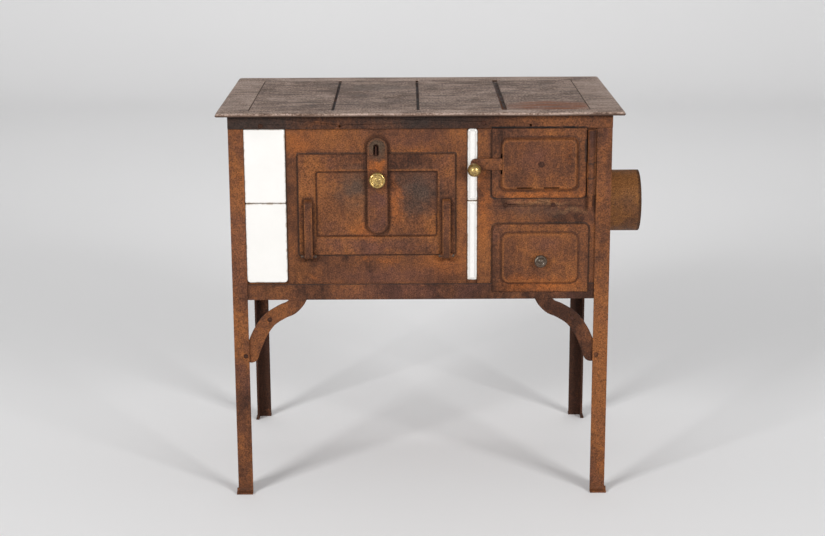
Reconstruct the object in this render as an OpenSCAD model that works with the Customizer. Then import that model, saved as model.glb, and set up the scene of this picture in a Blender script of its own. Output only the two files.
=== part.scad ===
// Wood burning kitchen stove: a sheet-iron body on four angle-iron legs, with a drop-down oven
// door, a fire door above an ash drawer, four loose cover plates and a flue stub on the right.
// Millimetres, Z up, floor at Z = 0. The front of the stove faces -Y.

/* [Overall] */
// Height of the cooking surface above the floor
stove_h = 800; // [740:10:960]
// Width across the corner posts
body_w = 760; // [634:2:912]
// Depth across the corner posts
body_d = 490; // [470:5:590]
// Height of the underside of the body above the floor
body_z = 415; // [360:5:440]

/* [Frame] */
// Width of each flange of the angle-iron posts
post_w = 30; // [24:1:38]
// Thickness of the post flanges
post_t = 4; // [3:0.5:5]
// Radius of the rise on the toes
toe_r = 8; // [6:1:12]
// Thickness of the toes
toe_t = 4; // [3:0.5:6]
// How far the feet flare out at their sides
toe_flare = 3; // [2:0.5:5]
// Height of the front frieze below the top
frieze_h = 31; // [24:1:40]
// Thickness of the frieze angle
frieze_t = 3; // [2:0.5:4]
// Height of the lower front rail
rail_h = 33; // [26:1:40]
// Thickness of the lower front rail
rail_t = 2; // [1.5:0.5:3]
// Width of the curved leg brackets
bracket_w = 30; // [22:1:34]
// Thickness of the curved leg brackets
bracket_t = 4; // [3:0.5:6]
// How far the brackets reach along the lower rail
bracket_reach = 101; // [80:1:120]
// How far down the posts the brackets are fixed
bracket_drop = 118; // [100:1:140]

/* [Sheets] */
// Thickness of the front plates
front_t = 3; // [2:0.5:4]
// Thickness of the side, back and bottom sheets
sheet_t = 2; // [1:0.5:3]
// Thickness of the oven and firebox plates
inner_t = 3; // [2:0.5:4]

/* [Top] */
// Overhang of the top at the front and at the sides
top_over = 24; // [12:1:40]
// Thickness of the top frame and its cover plates
top_t = 4; // [3:0.5:6]
// Depth of the curled rim, from the cooking surface down
rim_h = 6; // [5:1:12]
// Thickness of the curled rim
rim_t = 3; // [2:0.5:4]
// Solid margin of the top frame at each side
margin_side = 63; // [50:1:90]
// Solid margin of the top frame at the front
margin_front = 36; // [36:1:60]
// Solid margin of the top frame at the back
margin_back = 60; // [40:1:80]
// Width of the ledge that carries the cover plates
ledge_w = 8; // [6:1:14]
// Gap between neighbouring cover plates
cover_gap = 4; // [2:0.5:6]
// Wider gap beside the last cover plate
cover_gap_wide = 9; // [6:0.5:12]

/* [Tiles] */
// Width of the wide tiles
tile_w = 82; // [60:1:110]
// Height of the upper wide tile
tile_h = 150; // [120:1:170]
// Thickness of the tiles
tile_t = 8; // [7:0.5:10]
// Width of the narrow tiles
tile_slim_w = 19.6; // [16:0.2:24]

/* [Oven] */
// Margin of the oven front plate at each side of the door
oven_margin = 23.5; // [20:0.5:40]
// Height of the oven door's lower edge above the lower rail
oven_door_rise = 61; // [50:1:80]
// Height of the plate above the oven door
oven_door_head = 51; // [44:1:70]
// Overlap of the oven door on its opening
oven_lap = 15; // [12:1:20]
// Width of the oven hinge bars
hinge_bar_w = 15.6; // [12:0.2:20]
// Height of the oven hinge bars above their pins
hinge_bar_h = 115; // [80:1:130]
// Radius of the oven hinge pins
oven_pin_r = 3; // [2:0.25:4]
// Depth of the oven box
oven_depth = 430; // [380:5:440]
// Width of the oven latch strap
strap_w = 40; // [30:1:50]
// Length of the oven latch strap
strap_h = 193.5; // [180:0.5:200]
// How far the strap stands above the oven door
strap_rise = 33.5; // [32:0.5:36]
// Thickness of the oven latch strap
strap_t = 3; // [2:0.5:4]
// Radius of the oven knob
oven_knob_r = 16.5; // [12:0.5:20]

/* [Fire side] */
// Width of the front plate over the fire and the ash drawer
fire_w = 236; // [220:1:280]
// Width of the mullion left of the fire door
mullion_w = 28; // [24:1:36]
// Width of the margin right of the fire door
fire_margin = 20; // [18:0.5:28]
// Height of the plain band between the fire door and the ash drawer
band_h = 53; // [46:1:70]
// How far the middle of the fire door stands proud
fire_panel_raise = 6.5; // [6:0.5:9]
// Radius of the fire door's hinge barrel
barrel_r = 6.5; // [5.5:0.25:8]
// Radius of the fire door's hinge pin
fire_pin_r = 3; // [2:0.25:4]
// Height of the latch bar
lever_h = 23; // [18:0.5:28]
// Thickness of the latch bar
lever_t = 3.7; // [3:0.1:3.8]
// Radius of the latch pivot
lever_pin_r = 4; // [3:0.25:5]
// Radius of the brass ball on the latch bar
ball_r = 13.5; // [10:0.5:16]
// Depth of the firebox and ash pit
firebox_depth = 221; // [180:1:221]
// Thickness of the fire bricks
brick_t = 28; // [20:1:34]
// Height of the ash pan's sides
pan_h = 104; // [60:1:104]
// Radius of the ash drawer's knob
drawer_knob_r = 13; // [9:0.5:16]

/* [Flue] */
// Outer radius of the flue stub
flue_r = 66; // [50:0.5:75]
// Wall of the flue stub
flue_wall = 2; // [1.5:0.5:4]
// Length of the flue stub outside the body
flue_out = 98; // [60:1:140]
// Height of the flue axis above the underside of the body
flue_rise = 140; // [110:1:150]
// Distance of the flue axis behind the front face
flue_back = 302; // [302:1:400]
// Width of the ring that seats the flue stub inside
collar_w = 4; // [3:0.5:4]

/* [Hidden] */
$fn = 64;
// Clearances: flat running gap, radial fit of a pin, gap between a door and its plate
gap = 0.3;
fit = 0.05;
seat = 0.3;

// Heights
z_under = stove_h - top_t;
z_frieze = z_under - frieze_h;
z_skin = z_under - frieze_t;
z_rail = body_z + rail_h;
z_joint = z_frieze - tile_h;
z_slim_joint = z_joint + 3;

// Depths of the front layers, back from the posts' front face
y_skin = post_t;
y_inner = y_skin + front_t;
y_backing = y_inner + 2;
y_door = -1;
door_t = 2;
y_back = body_d - post_t;

// Columns of the front, from left to right
x_post = body_w / 2 - post_w;
x_wall = body_w / 2 - post_t;
x_oven0 = -x_post + tile_w + 1;
x_fire0 = x_wall - (fire_w + post_w - post_t);
x_oven1 = x_fire0 - tile_slim_w - 1.4;

// Oven door and opening
door_x0 = x_oven0 + oven_margin;
door_x1 = x_oven1 - oven_margin;
door_z0 = z_rail + oven_door_rise;
door_z1 = z_frieze - oven_door_head;
oven_x0 = door_x0 + oven_lap;
oven_x1 = door_x1 - oven_lap;
oven_z0 = door_z0 + oven_lap;
oven_z1 = door_z1 - oven_lap;
recess_side = 35;
recess_low = 38;
recess_top = 35.5;
recess_y = 3;
door_mid = (door_x0 + door_x1) / 2;

// Oven hinge: the pins lie in front of the door, just below its lower edge
oven_pin_y = y_door - 2 * oven_pin_r;
oven_pin_z = door_z0 - 1;
hinge_bars = [door_x0 + 19.3, door_x1 - 17.8];
ear_t = 4;
ear_r = oven_pin_r + 2;

// Oven latch strap, its hidden hinge and the fixed tongue in its slot
strap_y = y_door - seat - strap_t;
strap_z0 = door_z1 + strap_rise - strap_h;
strap_hinge_z = strap_z0 + 10;
strap_hinge_y = 0.9;
strap_pin_r = 1;
strap_x = door_mid + 1.5;
slot_w = 10.6;
slot_h = 24;
slot_z = strap_z0 + strap_h - 13.5 - slot_h;
slot_x = strap_x - 2.2;
knob_z = strap_z0 + 110;

// Fire door, its raised panel and its opening
fire_x0 = x_fire0 + mullion_w;
fire_x1 = x_post - fire_margin;
stack_h = (z_frieze - 1 - band_h - (body_z + 15)) / 2;
fire_z1 = z_frieze - 1;
fire_z0 = fire_z1 - stack_h;
panel_x0 = fire_x0 + 18.7;
panel_x1 = fire_x1 - 18.5;
panel_z0 = fire_z0 + 18;
panel_z1 = fire_z1 - 20;
panel_y = y_door - fire_panel_raise;
fire_lap = 13;
hinge_x = fire_x1 + barrel_r + 1.5;
hinge_y = y_skin - barrel_r - 0.5;
knuckle_z0 = fire_z0 + 6;
knuckle_z1 = fire_z0 + 40;
knuckle_z2 = fire_z0 + 70;
knuckle_z3 = fire_z1 - 3;

// Fire latch: a bar that pivots behind the raised panel and leaves it by a slot on the left
lever_z = fire_z0 + 69.5;
lever_x = panel_x0 + 79;
lever_y1 = y_door - seat;
lever_y0 = lever_y1 - lever_t;
ball_x = x_fire0 - 7.5;
ball_y = lever_y0 - ball_r + 1;
baffle_y = 9;

// Ash drawer
drawer_x0 = fire_x0 + 2;
drawer_x1 = x_post - 13.5;
drawer_z0 = body_z + 15;
drawer_z1 = drawer_z0 + stack_h;
drawer_back = y_skin - rail_t - seat;
pan_x0 = drawer_x0 + 6;
pan_x1 = drawer_x1 - 6.5;
pan_z0 = z_rail + 2;
pan_z1 = min(pan_z0 + pan_h, drawer_z1 - 12);
pan_t = 1.5;

// Inside: the firebox on the right, the oven on the left, a smoke chamber behind the fire
x_divide = oven_x1 + inner_t;
y_fire_back = y_inner + firebox_depth;
grate_z = fire_z0 - 33;
oven_back = y_inner + oven_depth;
flue_z = body_z + flue_rise;

// Top: opening, cover plates and the bars below their gaps
open_x0 = -(body_w / 2 + top_over - 1 - margin_side);
open_x1 = -open_x0;
open_y0 = margin_front - top_over;
open_y1 = body_d - margin_back;
cover_pitch = (open_x1 - open_x0 - cover_gap_wide + cover_gap) / 4;
cover_starts = [for (i = [0:3]) open_x0 + 1 + i * cover_pitch + (i == 3 ? cover_gap_wide - cover_gap : 0)];
cover_w = cover_pitch - cover_gap;
bar_w = 22;
bar_h = 6;

// The origin is the middle of the whole object's footprint, on the floor
reach_front = max(top_over, -ball_y + ball_r);
reach_back = body_d + toe_r + 2;
reach_left = body_w / 2 + top_over - 1;
reach_right = body_w / 2 - post_t + flue_out;
x_shift = (reach_left - reach_right) / 2;
y_shift = (reach_front - reach_back) / 2;

rust = "#6b3d24";
soot = "#33251e";
top_iron = "#4b3d35";
white_glaze = "#f1f1ef";
brass = "#b8913f";
nickel = "#b9b3a8";
sheet = "#55382a";
firebrick = "#b08a68";

// ---- helpers ----

// Moves a sub-part from the stove's own layout to the origin below its middle
module placed() translate([x_shift, y_shift, 0]) children();

// A block between two corners
module block(a, b) translate(a) cube(b - a);

// A rounded rectangle in 2D, from corner a to corner b
module rounded(a, b, r) {
    translate([a[0] + r, a[1]]) square([b[0] - a[0] - 2 * r, b[1] - a[1]]);
    translate([a[0], a[1] + r]) square([b[0] - a[0], b[1] - a[1] - 2 * r]);
    for (x = [a[0] + r, b[0] - r], y = [a[1] + r, b[1] - r]) translate([x, y]) circle(r);
}

// Stands an X-Z outline up as a plate from y0 back to y1
module upright(y0, y1) translate([0, y1, 0]) rotate([90, 0, 0]) linear_extrude(y1 - y0) children();

// Runs a Y-Z outline along X from x0 to x1
module along_x(x0, x1) translate([x0, 0, 0]) rotate([90, 0, 90]) linear_extrude(x1 - x0) children();

// A round bar or hole along Y
module rod_y(x, z, r, y0, y1) translate([x, y1, z]) rotate([90, 0, 0]) cylinder(r = r, h = y1 - y0);

// A round bar or hole along X
module rod_x(y, z, r, x0, x1) translate([x0, y, z]) rotate([0, 90, 0]) cylinder(r = r, h = x1 - x0);

// Points of an arc
function arc(c, r, a0, a1, n) = [for (i = [0:n]) let (a = a0 + (a1 - a0) * i / n) c + r * [cos(a), sin(a)]];

// ---- legs and outer frame ----

// Forged toe at the foot of a flange: a concave rise from its nose up to the flange
module toe_section() polygon(concat(
    [[0, 0]],
    arc([toe_r, toe_r + toe_t], toe_r, 180, 270, 8),
    [[toe_r + 1, toe_t], [toe_r + 2, toe_t - 1], [toe_r + 2, 0]]));

// Angle iron standing on its corner, with a toe in front and a small flare at its side
module post() {
    linear_extrude(z_skin) {
        square([post_w, post_t]);
        square([post_t, post_w]);
    }
    rotate([90, 0, -90]) translate([0, 0, -post_w]) linear_extrude(post_w + toe_flare) toe_section();
    rotate([90, 0, 0]) translate([0, 0, -post_w]) linear_extrude(post_w)
        polygon([[0, 0], [-toe_flare, 0], [-toe_flare, toe_t], [0, toe_r]]);
}

module post_at(sx, back) translate([sx * body_w / 2, back ? body_d : 0, 0])
    mirror([sx > 0 ? 1 : 0, 0, 0]) mirror([0, back ? 1 : 0, 0]) post();

module post_front_left() color(rust) placed() difference() {
    post_at(-1, false);
    bracket_holes(-1);
}
module post_front_right() color(rust) placed() difference() {
    post_at(1, false);
    bracket_holes(1);
}
module post_rear_left() color(rust) placed() post_at(-1, true);
module post_rear_right() color(rust) placed() post_at(1, true);

// Curved leg bracket: a flat bar with a rounded foot behind the post, rising in an S to the lower rail.
// Points of its middle line, as shares of its reach along the rail and its drop down the post
bracket_points = [[1.08, 0.12], [1, -0.02], [0.86, -0.145], [0.69, -0.21], [0.43, -0.355], [0.24, -0.575],
    [0.12, -0.8], [0.035, -1]];
bracket_path = [for (p = bracket_points) [-x_post + p[0] * bracket_reach, body_z + p[1] * bracket_drop]];
bracket_last = len(bracket_path) - 1;
function bracket_mid(s) = let (i = min(floor(s), bracket_last - 1), t = s - i, b = bracket_path[i],
        c = bracket_path[i + 1], a = bracket_path[max(i - 1, 0)], d = bracket_path[min(i + 2, bracket_last)])
    b + t / 2 * (c - a) + t * t * (a - 2.5 * b + 2 * c - d / 2) + t * t * t * (1.5 * (b - c) + (d - a) / 2);
function bracket_normal(s) =
    let (d = bracket_mid(min(s + 0.05, bracket_last)) - bracket_mid(max(s - 0.05, 0)))
    [-d[1], d[0]] / norm(d);
bracket_stations = [for (i = [0:bracket_last * 4]) i / 4];
bracket_foot = bracket_normal(bracket_last);
bracket_foot_angle = atan2(bracket_foot[1], bracket_foot[0]);

module bracket_shape() intersection() {
    polygon(concat(
        [for (s = bracket_stations) bracket_mid(s) + bracket_normal(s) * bracket_w / 2],
        arc(bracket_path[bracket_last], bracket_w / 2, bracket_foot_angle, bracket_foot_angle - 180, 12),
        [for (i = [len(bracket_stations) - 1:-1:0]) let (s = bracket_stations[i])
            bracket_mid(s) - bracket_normal(s) * bracket_w / 2]));
    translate([-x_wall, 0]) square([x_wall, body_z]);
}

// One rivet holds the bracket to the post, one sits in the middle of its bow
bracket_rivet = [-x_post - 7, body_z - bracket_drop];
bracket_stud = bracket_mid(4);
module bracket_holes(side) {
    rod_y(side * -bracket_rivet[0], bracket_rivet[1], 3 + fit, -1, y_inner + 2);
    rod_y(side * -bracket_stud[0], bracket_stud[1], 3 + fit, -1, y_inner + 2);
}

module bracket_left() color(rust) placed() difference() {
    upright(y_skin, y_skin + bracket_t) bracket_shape();
    bracket_holes(-1);
}
module bracket_right() color(rust) placed() difference() {
    mirror([1, 0, 0]) upright(y_skin, y_skin + bracket_t) bracket_shape();
    bracket_holes(1);
}

// Places of the rivets on the front
frieze_rivets = [[-x_post + 35, z_frieze + 6], [door_mid + 212.5, z_frieze + 10]];
band_rivets = [[fire_x0 + 28, fire_z0 - 15], [fire_x0 + 123, fire_z0 - 15]];

module front_frieze() color(soot) placed() difference() {
    union() {
        block([-body_w / 2, -frieze_t, z_frieze], [body_w / 2, 0, z_under]);
        block([-body_w / 2, -frieze_t, z_skin], [body_w / 2, y_inner, z_under]);
    }
    for (p = frieze_rivets) rod_y(p[0], p[1], 3 + fit, -frieze_t - 1, 1);
    rod_y(-x_post + 191, z_frieze + 5, 2.5, -frieze_t - 1, 1);
    rod_y(door_mid + 305, z_frieze + 6, 2.5, -frieze_t - 1, 1);
}

module lower_front_rail() color(rust) placed()
    block([-x_post, y_skin - rail_t, body_z], [x_post, y_skin, z_rail]);

module side_sheet() block([-x_wall, y_inner, body_z], [-x_wall + sheet_t, y_back, z_skin]);
module side_panel_left() color(sheet) placed() side_sheet();
module side_panel_right() color(sheet) placed() difference() {
    mirror([1, 0, 0]) side_sheet();
    rod_x(flue_back, flue_z, flue_r + fit, x_wall - sheet_t - 1, x_wall + 1);
}
module back_panel() color(sheet) placed()
    block([-x_wall + sheet_t, y_back - sheet_t, body_z], [x_wall - sheet_t, y_back, z_skin]);

// Floor of the body: a tray whose edges are turned up against the side sheets
module bottom_panel() color(sheet) placed() difference() {
    block([-x_wall + sheet_t, y_inner, body_z], [x_wall - sheet_t, y_back - sheet_t, body_z + 14]);
    block([-x_wall + 2 * sheet_t, y_inner - 1, body_z + sheet_t],
          [x_wall - 2 * sheet_t, y_back - 2 * sheet_t, body_z + 15]);
}

module oven_front_plate() color(rust) placed() difference() {
    block([x_oven0, y_skin, body_z], [x_oven1, y_inner, z_skin]);
    block([oven_x0, y_skin - 1, oven_z0], [oven_x1, y_inner + 1, oven_z1]);
}

module fire_front_plate() color(rust) placed() difference() {
    block([x_fire0, y_skin, body_z], [x_wall, y_inner, z_skin]);
    block([fire_x0 + fire_lap, y_skin - 1, fire_z0 + fire_lap],
          [fire_x1 - 10, y_inner + 1, fire_z1 - 12]);
    block([pan_x0 - 2, y_skin - 1, z_rail + 1], [pan_x1 + 2, y_inner + 1, drawer_z1 - 5]);
    for (p = band_rivets) rod_y(p[0], p[1], 3 + fit, y_skin - 1, y_inner + 1);
}

// Backing sheets behind the wide and the narrow tiles, lapped behind the front plates
module tile_backing() color(sheet) placed() {
    block([-x_wall + sheet_t + 0.5, y_inner, body_z + 14], [x_oven0 + 8, y_backing, z_skin - 2]);
    block([-x_wall, y_skin, body_z], [-x_post - 0.5, y_inner, z_skin]);
    block([x_oven1 - 8, y_inner, body_z + 14], [x_fire0 + 8, y_backing, z_skin - 2]);
}

// ---- tiles ----

module wide_tile(z0, z1, r) upright(y_inner - tile_t, y_inner) {
    rounded([-x_post + 0.5, z0], [-x_post + tile_w, z1], r);
    translate([-x_post + 0.5, z1 - r]) square([tile_w - 0.5, r]);
}

module slim_tile(z0, z1) {
    bulge = 3;
    half = tile_slim_w / 2;
    r = (half * half + bulge * bulge) / (2 * bulge);
    translate([(x_oven1 + x_fire0) / 2, 0, z0]) linear_extrude(z1 - z0) union() {
        translate([-half, y_inner - tile_t + bulge]) square([tile_slim_w, tile_t - bulge]);
        intersection() {
            translate([0, y_inner - tile_t + r]) circle(r, $fn = 128);
            translate([-half, y_inner - tile_t]) square([tile_slim_w, bulge + 1]);
        }
    }
}

module tile_wide_upper() color(white_glaze) placed() wide_tile(z_joint + 0.5, z_frieze - 0.5, 3);
module tile_wide_lower() color(white_glaze) placed() wide_tile(z_rail + 4, z_joint - 0.5, 8);
module tile_narrow_upper() color(white_glaze) placed() slim_tile(z_slim_joint + 0.5, z_frieze - 0.5);
module tile_narrow_lower() color(white_glaze) placed() slim_tile(z_rail + 7, z_slim_joint - 0.5);

// ---- top ----

module top_frame() color(top_iron) placed() {
    over = top_over - 1;
    difference() {
        translate([0, 0, stove_h - rim_h]) linear_extrude(rim_h)
            rounded([-body_w / 2 - over, -top_over], [body_w / 2 + over, body_d], 8);
        block([-body_w / 2 - over + rim_t, -top_over + rim_t, stove_h - rim_h - 1],
              [body_w / 2 + over - rim_t, body_d + 1, z_under]);
        block([open_x0, open_y0, z_under - 1], [open_x1, open_y1, stove_h + 1]);
    }
    difference() {
        block([open_x0 - 4, open_y0 - 4, z_under - top_t], [open_x1 + 4, open_y1 + 4, z_under]);
        block([open_x0 + ledge_w, open_y0 + ledge_w, z_under - top_t - 1],
              [open_x1 - ledge_w, open_y1 - ledge_w, z_under + 1]);
    }
}

// One loose cover plate; the third has a rebated lip beside the wide gap
module cover(i) {
    x0 = cover_starts[i];
    block([x0, open_y0 + 1, z_under + gap], [x0 + cover_w - 1, open_y1 - 1, stove_h]);
    if (i == 2) block([x0 + cover_w - 3, open_y0 + 12, z_under + gap],
                      [x0 + cover_w + 3, open_y1 - 12, z_under + gap + 1.4]);
}
module cover_plate_1() color(top_iron) placed() cover(0);
module cover_plate_2() color(top_iron) placed() cover(1);
module cover_plate_3() color(top_iron) placed() cover(2);
module cover_plate_4() color(top_iron) placed() cover(3);

module cover_bars() color(soot) placed() for (i = [1:3]) {
    mid = (cover_starts[i] + cover_starts[i - 1] + cover_w - 1) / 2;
    block([mid - bar_w / 2, open_y0 + ledge_w, z_under - bar_h],
          [mid + bar_w / 2, open_y1 - ledge_w, z_under]);
}

// Angle irons inside the side sheets, which carry the top
module upper_side_rails() color(soot) placed() for (side = [0, 1]) mirror([side, 0, 0]) {
    block([-x_wall + sheet_t, y_inner + 4, z_under - 18], [-x_wall + sheet_t + 3, y_back - 24, z_under]);
    block([-x_wall + sheet_t, y_inner + 4, z_under - 3], [-x_wall + sheet_t + 15, y_back - 24, z_under]);
}
module upper_rear_rail() color(soot) placed() {
    block([-x_wall + 22, y_back - sheet_t - 3, z_under - 18], [x_wall - 22, y_back - sheet_t, z_under]);
    block([-x_wall + 22, y_back - sheet_t - 15, z_under - 3], [x_wall - 22, y_back - sheet_t, z_under]);
}

// ---- inside ----

module oven_box() color(sheet) placed() difference() {
    block([oven_x0 - inner_t, y_inner, oven_z0 - inner_t],
          [x_divide, oven_back + inner_t, oven_z1 + inner_t]);
    block([oven_x0, y_inner - 1, oven_z0], [oven_x1, oven_back, oven_z1]);
}

shelf_z = oven_z0 + 84;
module shelf_runners() color(sheet) placed() for (x = [oven_x0, oven_x1 - 10]) {
    block([x, y_inner + 25, shelf_z - 3], [x + 10, oven_back - 5, shelf_z]);
    block([x == oven_x0 ? x : x + 7, y_inner + 25, shelf_z - 3],
          [x == oven_x0 ? x + 3 : x + 10, oven_back - 5, shelf_z + 8]);
}
module oven_shelf() color(sheet) placed() {
    block([oven_x0 + 4, y_inner + 40, shelf_z], [oven_x1 - 4, oven_back - 12, shelf_z + 2]);
    block([oven_x0 + 4, oven_back - 14, shelf_z], [oven_x1 - 4, oven_back - 12, shelf_z + 12]);
}

// Wall between the oven and the fire, left low at the top for the smoke
module firebox_divider() color(soot) placed()
    block([x_divide, y_inner, body_z + sheet_t], [x_divide + inner_t, y_fire_back, z_under - 66]);
module firebox_back() color(soot) placed()
    block([x_divide, y_fire_back, body_z + sheet_t],
          [x_wall - 2 * sheet_t, y_fire_back + inner_t, z_under - 24]);
module smoke_chamber_lid() color(soot) placed()
    block([x_divide, y_fire_back + inner_t, oven_z1],
          [x_wall - sheet_t, y_back - sheet_t, oven_z1 + inner_t]);

// Frame that carries the grate and the bricks
grate_x0 = fire_x0 - 8;
grate_x1 = fire_x1 + 10;
module grate_frame() color(soot) placed() difference() {
    block([x_divide + inner_t, y_backing, grate_z], [x_wall - sheet_t, y_fire_back, grate_z + 8]);
    block([grate_x0, y_inner + 20, grate_z - 1], [grate_x1, y_fire_back - 30, grate_z + 9]);
}
module grate() color(soot) placed() {
    y0 = y_inner + 12;
    y1 = y_fire_back - brick_t - 2;
    top = grate_z + 8;
    bars = 11;
    pitch = (grate_x1 - grate_x0 + 4) / (bars - 1);
    for (y = [y0, y1 - 12]) block([grate_x0 - 8, y, top], [grate_x1 + 8, y + 12, top + 10]);
    for (i = [0:bars - 1])
        block([grate_x0 - 7 + i * pitch, y0 + 6, top], [grate_x0 + 3 + i * pitch, y1 - 6, top + 10]);
}

brick_z0 = grate_z + 8;
brick_top = z_under - 70;
module fire_brick_left() color(firebrick) placed()
    block([x_divide + inner_t, y_backing, brick_z0],
          [x_divide + inner_t + 2 * brick_t, y_fire_back, brick_top]);
module fire_brick_right() color(firebrick) placed()
    block([fire_x1 + 19, y_backing, brick_z0], [x_wall - sheet_t, y_fire_back, brick_top]);
module fire_brick_back() color(firebrick) placed()
    block([x_divide + inner_t + 2 * brick_t, y_fire_back - brick_t, brick_z0],
          [fire_x1 + 19, y_fire_back, brick_top]);

// Ring that seats the flue stub on the inside of the right sheet
module flue_collar() color(soot) placed() difference() {
    rod_x(flue_back, flue_z, flue_r + collar_w, x_wall - sheet_t - 3, x_wall - sheet_t);
    rod_x(flue_back, flue_z, flue_r + fit, x_wall - sheet_t - 4, x_wall + 1);
}
module flue_stub() color(rust) placed() difference() {
    rod_x(flue_back, flue_z, flue_r, x_wall - 10, x_wall + flue_out);
    rod_x(flue_back, flue_z, flue_r - flue_wall, x_wall - 11, x_wall + flue_out + 1);
}

// ---- ash drawer ----

drawer_mid = (drawer_x0 + drawer_x1) / 2;
drawer_knob_z = drawer_z0 + 67;
drawer_face = y_door - 3.5;
module ash_drawer_front() color(rust) placed() difference() {
    union() {
        upright(y_door, drawer_back) {
            rounded([drawer_x0, drawer_z0], [drawer_x1, drawer_z1], 12);
            translate([drawer_x0, drawer_z0]) square([drawer_x1 - drawer_x0, 12]);
        }
        upright(drawer_face, y_door)
            rounded([drawer_x0 + 17, drawer_z0 + 19], [drawer_x1 - 20, drawer_z1 - 17], 14);
    }
    rod_y(drawer_mid, drawer_knob_z, 3 + fit, drawer_face - 1, drawer_back + 1);
}
module ash_pan() color(sheet) placed() {
    back = y_fire_back - 20;
    difference() {
        block([pan_x0, drawer_back, pan_z0], [pan_x1, back, pan_z1]);
        block([pan_x0 + pan_t, drawer_back + pan_t, pan_z0 + pan_t],
              [pan_x1 - pan_t, back - pan_t, pan_z1 + 1]);
        rod_y(drawer_mid, drawer_knob_z, 7, drawer_back - 1, drawer_back + pan_t + 1);
    }
}
// Turned knob with a screw shank through the drawer front
module ash_drawer_knob() color(nickel) placed()
    translate([drawer_mid, drawer_face, drawer_knob_z]) rotate([90, 0, 0]) {
        translate([0, 0, -(drawer_back - drawer_face)]) cylinder(r = 3, h = drawer_back - drawer_face + 6);
        cylinder(r = 7, h = 5);
        translate([0, 0, 5]) rotate_extrude() polygon(concat(
            [[0, 0], [drawer_knob_r - 3, 0]],
            arc([drawer_knob_r - 4.5, 4.5], 4.5, -60, 80, 8),
            [[0, 10]]));
    }
// Angle runners under the pan
module drawer_guides() color(soot) placed() for (x = [pan_x0 - 4, pan_x1 - 12]) {
    block([x, y_inner, z_rail - 2], [x + 16, y_fire_back, pan_z0 - gap]);
    block([x + 6, y_inner, body_z + sheet_t], [x + 10, y_fire_back, z_rail - 2]);
}

// ---- oven door ----

// Pressed door sheet: a flat rim around a sunk middle
module oven_door_panel() color(rust) placed() {
    r0 = [door_x0 + recess_side, door_z0 + recess_low];
    r1 = [door_x1 - recess_side - 1, door_z1 - recess_top];
    difference() {
        union() {
            upright(y_door, y_door + door_t) rounded([door_x0, door_z0], [door_x1, door_z1], 5);
            upright(y_door, recess_y + door_t)
                rounded(r0 - [door_t, door_t], r1 + [door_t, door_t], 4);
        }
        upright(y_door - 1, recess_y) rounded(r0, r1, 4);
    }
}
// Inner tray of the door, which fills the mouth of the oven
module oven_door_liner() color(sheet) placed() difference() {
    x0 = oven_x0 + 8;
    x1 = oven_x1 - 8;
    z0 = oven_z0 + 8;
    z1 = oven_z1 - 8;
    block([x0, y_door + door_t, z0], [x1, y_inner + 7, z1]);
    block([x0 + 2, y_door + door_t - 1, z0 + 2], [x1 - 2, y_inner + 5, z1 - 2]);
}

// Side view of a hinge bar: an eye, a raised bar and a rounded top
module hinge_bar_side() {
    depth = y_door - oven_pin_y;
    top = oven_pin_z + hinge_bar_h;
    translate([oven_pin_y, oven_pin_z]) circle(depth);
    translate([oven_pin_y - depth, oven_pin_z]) square([2 * depth, hinge_bar_h - 2 * depth]);
    intersection() {
        translate([y_door, top - 2 * depth]) circle(2 * depth);
        translate([oven_pin_y - depth, top - 2 * depth - 1]) square([2 * depth, 3 * depth]);
    }
}
module oven_hinge_bars() color(rust) placed() for (x = hinge_bars) difference() {
    along_x(x - hinge_bar_w / 2, x + hinge_bar_w / 2) hinge_bar_side();
    rod_x(oven_pin_y, oven_pin_z, oven_pin_r + fit, x - hinge_bar_w, x + hinge_bar_w);
}
module oven_hinge_pins() color(nickel) placed() for (x = hinge_bars)
    rod_x(oven_pin_y, oven_pin_z, oven_pin_r,
          x - hinge_bar_w / 2 - ear_t - 3.5, x + hinge_bar_w / 2 + ear_t + 3.5);

// Ears that hold the ends of the hinge pins on the front plate
module ear_side() {
    translate([oven_pin_y, oven_pin_z]) circle(ear_r);
    polygon([[oven_pin_y - ear_r + 1, oven_pin_z - 3], [oven_pin_y, oven_pin_z], [y_skin, oven_pin_z],
             [y_skin, oven_pin_z - 14], [y_skin - 3, oven_pin_z - 14]]);
}
module oven_hinge_ears() color(rust) placed() for (x = hinge_bars, side = [-1, 1]) {
    mid = x + side * (hinge_bar_w / 2 + 0.5 + ear_t / 2);
    difference() {
        along_x(mid - ear_t / 2, mid + ear_t / 2) ear_side();
        rod_x(oven_pin_y, oven_pin_z, oven_pin_r + fit, mid - ear_t, mid + ear_t);
    }
}

// ---- oven latch ----

// Strap with a slot at its top and a small eye behind its foot
module latch_strap() color(rust) placed() {
    r = strap_w / 2;
    eye_y = strap_hinge_y;
    difference() {
        union() {
            upright(strap_y, strap_y + strap_t)
                rounded([strap_x - r, strap_z0], [strap_x + r, strap_z0 + strap_h], r - 0.5);
            along_x(strap_x - 7, strap_x + 7) {
                translate([eye_y, strap_hinge_z]) circle(1.8);
                translate([strap_y + strap_t - 0.5, strap_hinge_z - 1.8])
                    square([eye_y - strap_y - strap_t + 0.5, 3.6]);
            }
        }
        upright(strap_y - 1, strap_y + strap_t + 1)
            rounded([slot_x - slot_w / 2, slot_z], [slot_x + slot_w / 2, slot_z + slot_h], 4);
        rod_x(eye_y, strap_hinge_z, strap_pin_r + fit, strap_x - 8, strap_x + 8);
        rod_y(strap_x, knob_z, 4 + fit, strap_y - 1, strap_y + strap_t + 1);
    }
}
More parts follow.
